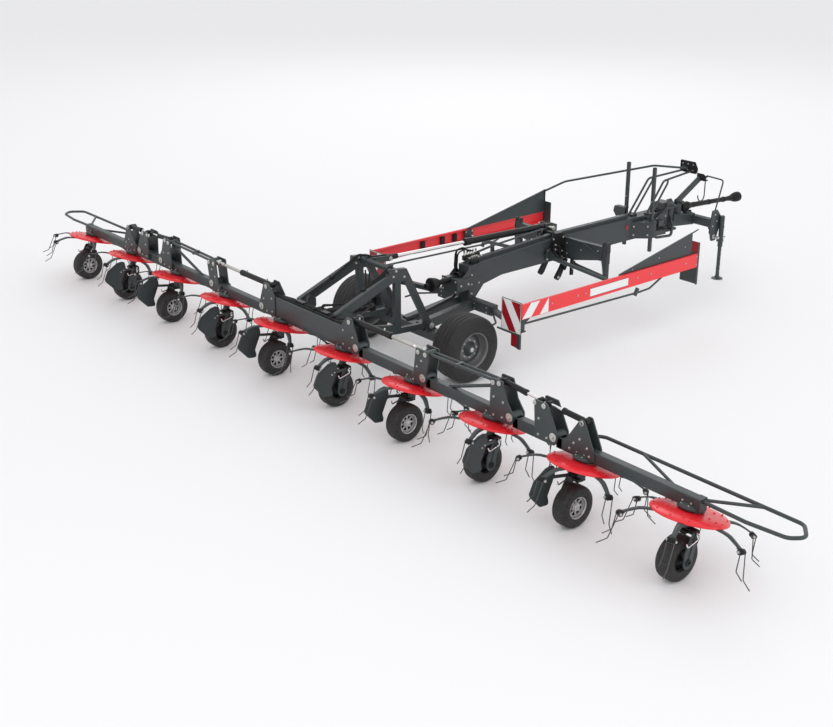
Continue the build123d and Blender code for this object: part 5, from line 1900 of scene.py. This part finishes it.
def buildDrawbarTrim():
    maker = Shaper("drawbarTrim", "frame")
    # welded strips along the upper edges of both sides, and the plates at the rear end
    for side in (-1, 1):
        x = side * drawbar["side"]
        maker.bar(at(x, 3.950, 1.060), at(x, 6.200, 1.060), 0.005, 0.030)
        maker.bar(at(x, 2.500, 0.990), at(x, 3.950, 1.060), 0.005, 0.030)
        maker.framePlate(
            [(2.440, 0.600), (2.545, 0.600), (2.700, 0.760), (2.620, 0.900), (2.440, 0.940)], side * 0.094,
            0.008, 0.020,
        )
        maker.bolts(
            [
                at(side * 0.098, y, z)
                for y, z in ((2.480, 0.640), (2.480, 0.760), (2.480, 0.880), (2.600, 0.760))
            ],
            (side, 0, 0), 0.010,
        )
        # collars and brackets of the posts
        postX = side * post["x"]
        maker.bar(at(postX, post["y"], 0.850), at(postX, post["y"], 1.010), 0.062, 0.062, alongX, 0.006)
        for way in (-1, 1):
            maker.crossPlate(
                [
                    (side * 0.090, 0.830), (side * 0.250, 0.860), (side * 0.250, 0.960),
                    (side * 0.090, 1.060),
                ],
                post["y"] + way * 0.040, 0.010, 0.010,
            )
        maker.loft([
            [at(side * x, y, z) for x, y in ((0.090, 5.430), (0.272, 5.640), (0.285, 5.735), (0.090, 5.800))]
            for z in (0.800, 1.020)
        ])
        maker.loft([
            [at(side * x, y, z) for x, y in ((0.090, 5.424), (0.278, 5.636), (0.290, 5.740), (0.090, 5.806))]
            for z in (1.014, 1.028)
        ])
        maker.bolts(
            [at(side * x, y, z) for x, y in ((0.120, 5.461), (0.245, 5.605)) for z in (0.850, 0.970)],
            (side, -1, 0), 0.010,
        )
    # bin for the pins, behind the left post, and bolts along the ridge on the drawbar's top
    maker.crossPlate(
        [(-0.400, 1.140), (-0.420, 1.060), (-0.340, 0.960), (-0.205, 0.930), (-0.205, 1.140)], 5.640, 0.012,
        0.014,
    )
    maker.bar(at(-0.395, 5.680, 1.132), at(-0.210, 5.680, 1.132), 0.080, 0.012, alongY)
    (rearY, rearZ), (frontY, frontZ) = drawbar["ridge"]
    for y in drawbar["ridgeBolts"]:
        z = rearZ + (frontZ - rearZ) * min(1, (y - rearY) / (frontY - rearY))
        maker.bolts([at(0, y, z)], alongZ, 0.011)
    # head over the swivel pin
    cheek = ((6.060, 1.092), (6.100, 1.182), (6.240, 1.194), (6.300, 1.150), (6.385, 1.112), (6.385, 1.092))
    for x in (0.060, -0.060):
        maker.framePlate(cheek, x, 0.014, 0.014)
    maker.bar(at(0, 6.110, 1.176), at(0, 6.236, 1.188), 0.118, 0.012, alongX)
    maker.bar(at(0, 6.070, 1.100), at(0, 6.104, 1.176), 0.118, 0.010, alongX)
    swivel = at(0, hitch["swivelY"], 0)
    maker.turned(((1.110, 0.044), (1.124, 0.044), (1.128, 0.038)), swivel, alongZ, 28)
    for side in (-1, 1):
        maker.framePlate(
            [(5.900, 0.840), (5.900, 1.040), (6.190, 1.060), (6.190, 0.800), (5.980, 0.790)], side * 0.096,
            0.012, 0.020,
        )
        maker.bolts(
            [at(side * 0.102, y, z) for y in (5.950, 6.140) for z in (0.860, 1.000)], (side, 0, 0), 0.011,
        )
    maker.tube(
        [
            at(0.090, 5.905, 0.850), at(0.140, 5.905, 0.735), at(0.140, 6.255, 0.705),
            at(0.140, 6.262, 0.880), at(0.096, 6.240, 0.930),
        ],
        0.020, 14, 0.05, 4,
    )
    maker.bar(at(0.120, 5.900, 0.800), at(0.120, 6.120, 0.790), 0.060, 0.080, alongX, 0.010)
    maker.bar(at(0.125, 5.940, 0.930), at(0.125, 6.050, 0.925), 0.070, 0.090, alongX, 0.012)
    maker.paint("hinge")
    for x, drop in ((0.128, 0.0), (0.150, 0.03)):
        maker.tube(
            [
                at(x - 0.03, 5.860, 0.960), at(x, 5.920, 0.890 - drop), at(x + 0.02, 6.060, 0.860 - drop),
                at(x + 0.01, 6.200, 0.900 - drop), at(x - 0.03, 6.235, 0.980),
            ],
            0.0095, 10, 0.06, 5,
        )
    maker.paint("darkRed")
    for side in (-1, 1):
        lens = ((0.0, 0.030), (0.006, 0.030), (0.009, 0.024))
        maker.turned(lens, at(side * drawbar["side"], 5.348, 0.970), (side, 0, 0), 24)
    maker.paint("hinge")
    maker.tube(
        [
            at(0.062, 6.210, 1.160), at(0.110, 6.120, 1.120), at(0.112, 5.940, 1.020),
            at(0.104, 5.800, 1.000),
        ],
        0.010, 10, 0.05,
    )
    maker.bar(at(0.030, 5.975, 1.092), at(0.030, 6.045, 1.092), 0.090, 0.024, alongX, 0.006)
    maker.place(body="chassis", edge=0.0015)


valves = {
    "y": 2.560,
    "count": 5,
    "pitch": 0.048,
    "pipe": (
        (-0.070, 2.700, 1.085), (-0.075, 3.000, 1.120), (-0.085, 3.900, 1.170), (-0.130, 4.020, 1.140),
    ),
}


def buildValves():
    # Valve block, fittings, pipes and hoses on the rear end of the drawbar
    maker = Shaper("valveBlock", "hinge")
    y = valves["y"]
    maker.bar(at(-0.085, y - 0.050, 1.046), at(-0.085, y + 0.190, 1.058), 0.070, 0.060, alongX, 0.006)
    maker.bar(at(0.055, y - 0.060, 1.030), at(0.055, y + 0.060, 1.036), 0.040, 0.050, alongX, 0.006)
    maker.paint("zinc")
    for spot in range(valves["count"]):
        far = y - 0.030 + spot * valves["pitch"]
        maker.turned(
            ((0.0, 0.016), (0.012, 0.016), (0.014, 0.011), (0.046, 0.011), (0.048, 0.014), (0.060, 0.014)),
            at(-0.100, far, 1.076), alongZ, 12,
        )
        maker.turned(
            ((0.0, 0.011), (0.050, 0.011), (0.052, 0.014), (0.064, 0.014)), at(-0.050, far, 1.062), alongX,
            12,
        )
    for spot in range(3):
        maker.turned(
            ((0.0, 0.010), (0.040, 0.010), (0.042, 0.013), (0.052, 0.013)),
            at(0.055, y - 0.040 + spot * 0.036, 1.058), alongZ, 12,
        )
    maker.paint("frame")
    for dx in (0.0, -0.024):
        maker.tube([at(x + dx, far, z) for x, far, z in valves["pipe"]], 0.0085, 10, 0.06, 4)
    for far, z in ((3.000, 1.090), (3.500, 1.120), (3.860, 1.140)):
        maker.bar(at(-0.092, far, z - 0.060), at(-0.092, far, z + 0.040), 0.056, 0.020)
    maker.paint("hose")
    for spot, (dx, lift) in enumerate(((0.0, 0.05), (0.022, 0.075), (0.044, 0.04))):
        maker.tube(
            [
                at(-0.100 + dx, y - 0.030 + spot * valves["pitch"], 1.128),
                at(-0.100 + dx, y - 0.060, 1.150 + lift * 0.6), at(-0.130 + dx, y - 0.150, 1.100 + lift),
                at(-0.125 + dx, y - 0.170, 0.960), at(-0.105 + dx, y - 0.100, 0.800),
                at(-0.100 + dx, y - 0.085, 0.640),
            ],
            0.0095, 10, 0.07, 5,
        )
    maker.place(body="chassis", edge=0)


liftFrame = {"sideX": 0.350, "pivot": (1.560, 0.520)}


def buildAxleTrim():
    pivotY, pivotZ = liftFrame["pivot"]
    maker = Shaper("axleTrim", "frame")
    for side in (-1, 1):
        # heads of the pivot pins, pads of the outriggers
        maker.paint("zinc")
        for way in (-1, 1):
            pin = at(side * liftFrame["sideX"] + way * 0.060, pivotY, pivotZ)
            maker.turned(((0, 0.036), (0.008, 0.036), (0.011, 0.030)), pin, (way, 0, 0), 24)
            maker.bolt(pin + alongX * way * 0.010, (way, 0, 0), 0.012)
        maker.bolts(
            [at(side * x, 2.444, z) for x in (0.200, 0.420) for z in (0.490, 0.550)], (0, -1, 0), 0.011,
        )
        maker.paint("frame")
        maker.crossPlate(
            [(side * 0.180, 0.470), (side * 0.470, 0.470), (side * 0.470, 0.570), (side * 0.180, 0.570)],
            2.441, 0.010, 0.010,
        )
        maker.bar(
            at(side * 1.345, 2.120, 0.575), at(side * 1.345, 2.120, 0.590), 0.090, 0.080, alongX, 0.006,
        )
        maker.bolts([at(side * 1.345, 2.095, z) for z in (0.640, 0.700, 0.800)], (0, -1, 0), 0.010)
        # scraper bar in front of each main wheel
        maker.tube(
            [
                at(side * 0.480, 2.480, 0.505), at(side * 0.740, 2.300, 0.470),
                at(side * 0.760, 2.120, 0.455),
            ],
            0.012, 12, 0.06,
        )
    maker.paint("hose")
    for x in (-0.060, -0.036):
        maker.tube(
            [at(x, 1.560, 0.466), at(x, 1.700, 0.476), at(x, 2.300, 0.590), at(x - 0.02, 2.400, 0.640)],
            0.009, 10, 0.06,
        )
    maker.place(body=nodeBody["axle"], edge=0.0015)


def buildLiftTrim():
    # Bolts on the side frames, pin heads of the lift cylinder, and hoses clipped from the row to the apex
    maker = Shaper("liftFrameTrim", "frame")
    for side in (-1, 1):
        for way in (-1, 1):
            x = side * liftFrame["sideX"] + way * 0.045
            spots = [at(x, far, z) for far, z in ((0.240, 0.760), (0.240, 0.900))]
            maker.bolts(spots, (way, 0, 0), 0.012)
            x = side * liftFrame["sideX"] + way * 0.030
            maker.bolts(
                [at(x, far, z) for far, z in ((1.010, 1.230), (1.170, 1.200), (1.050, 1.290))], (way, 0, 0),
                0.012,
            )
        maker.crossPlate(
            [(side * 0.300, 0.720), (side * 0.400, 0.720), (side * 0.400, 0.940), (side * 0.300, 0.940)],
            0.213, 0.010, 0.010,
        )
        maker.framePlate(
            [(0.300, 0.800), (0.420, 0.830), (0.420, 0.930), (0.300, 0.930)], side * liftFrame["sideX"],
            0.062, 0.010,
        )
    maker.paint("zinc")
    for way in (-1, 1):
        pin = liftCylinder["eye"] + alongX * way * 0.049
        maker.turned(((0, 0.024), (0.008, 0.024), (0.010, 0.020)), pin, (way, 0, 0), 24)
        maker.bolt(pin + alongX * way * 0.008, (way, 0, 0), 0.010)
    maker.paint("hose")
    for spot, x in enumerate((-0.310, -0.290, 0.285, 0.305, 0.325)):
        drop = 0.006 * spot
        maker.tube(
            [
                at(x * 0.5, 0.170, 0.962), at(x * 0.8, 0.240, 0.990 - drop), at(x, 0.330, 0.985),
                at(x, 0.900, 1.262 - drop), at(x, 1.040, 1.335), at(x * 0.7, 1.130, 1.325),
                at(x * 0.5, 1.160, 1.280),
            ],
            0.0095, 10, 0.07, 5,
        )
    maker.paint("plastic")
    for side in (-1, 1):
        maker.bar(at(side * 0.300, 0.620, 1.128), at(side * 0.300, 0.650, 1.142), 0.060, 0.030)
    maker.place(body=nodeBody["lift_frame"], edge=0.0015)


def buildPosts():
    # Square posts beside the drawbar, each with a plastic cap
    y, high, size = post["y"], post["high"], post["size"]
    maker = Shaper("stowPosts", "frame")
    for side in (-1, 1):
        x = side * post["x"]
        maker.paint("frame")
        maker.bar(at(x, y, post["low"]), at(x, y, high), size, size, alongX, 0.006)
        maker.bolts([at(x, y - size / 2, z) for z in (1.150, 1.300)], (0, -1, 0), 0.008)
        maker.paint("plastic")
        maker.bar(at(x, y, high - 0.002), at(x, y, high + 0.007), size - 0.004, size - 0.004, alongX, 0.006)
    maker.place("stow_posts", edge=0.001)


buildCradles()
buildGuardArms()
buildCylinderSaddle()
buildRearExtension()
buildRowDrive()
buildRowHoses()
buildDrawbarTrim()
buildValves()
buildAxleTrim()
buildLiftTrim()
buildPosts()
print("chassis trim ready")
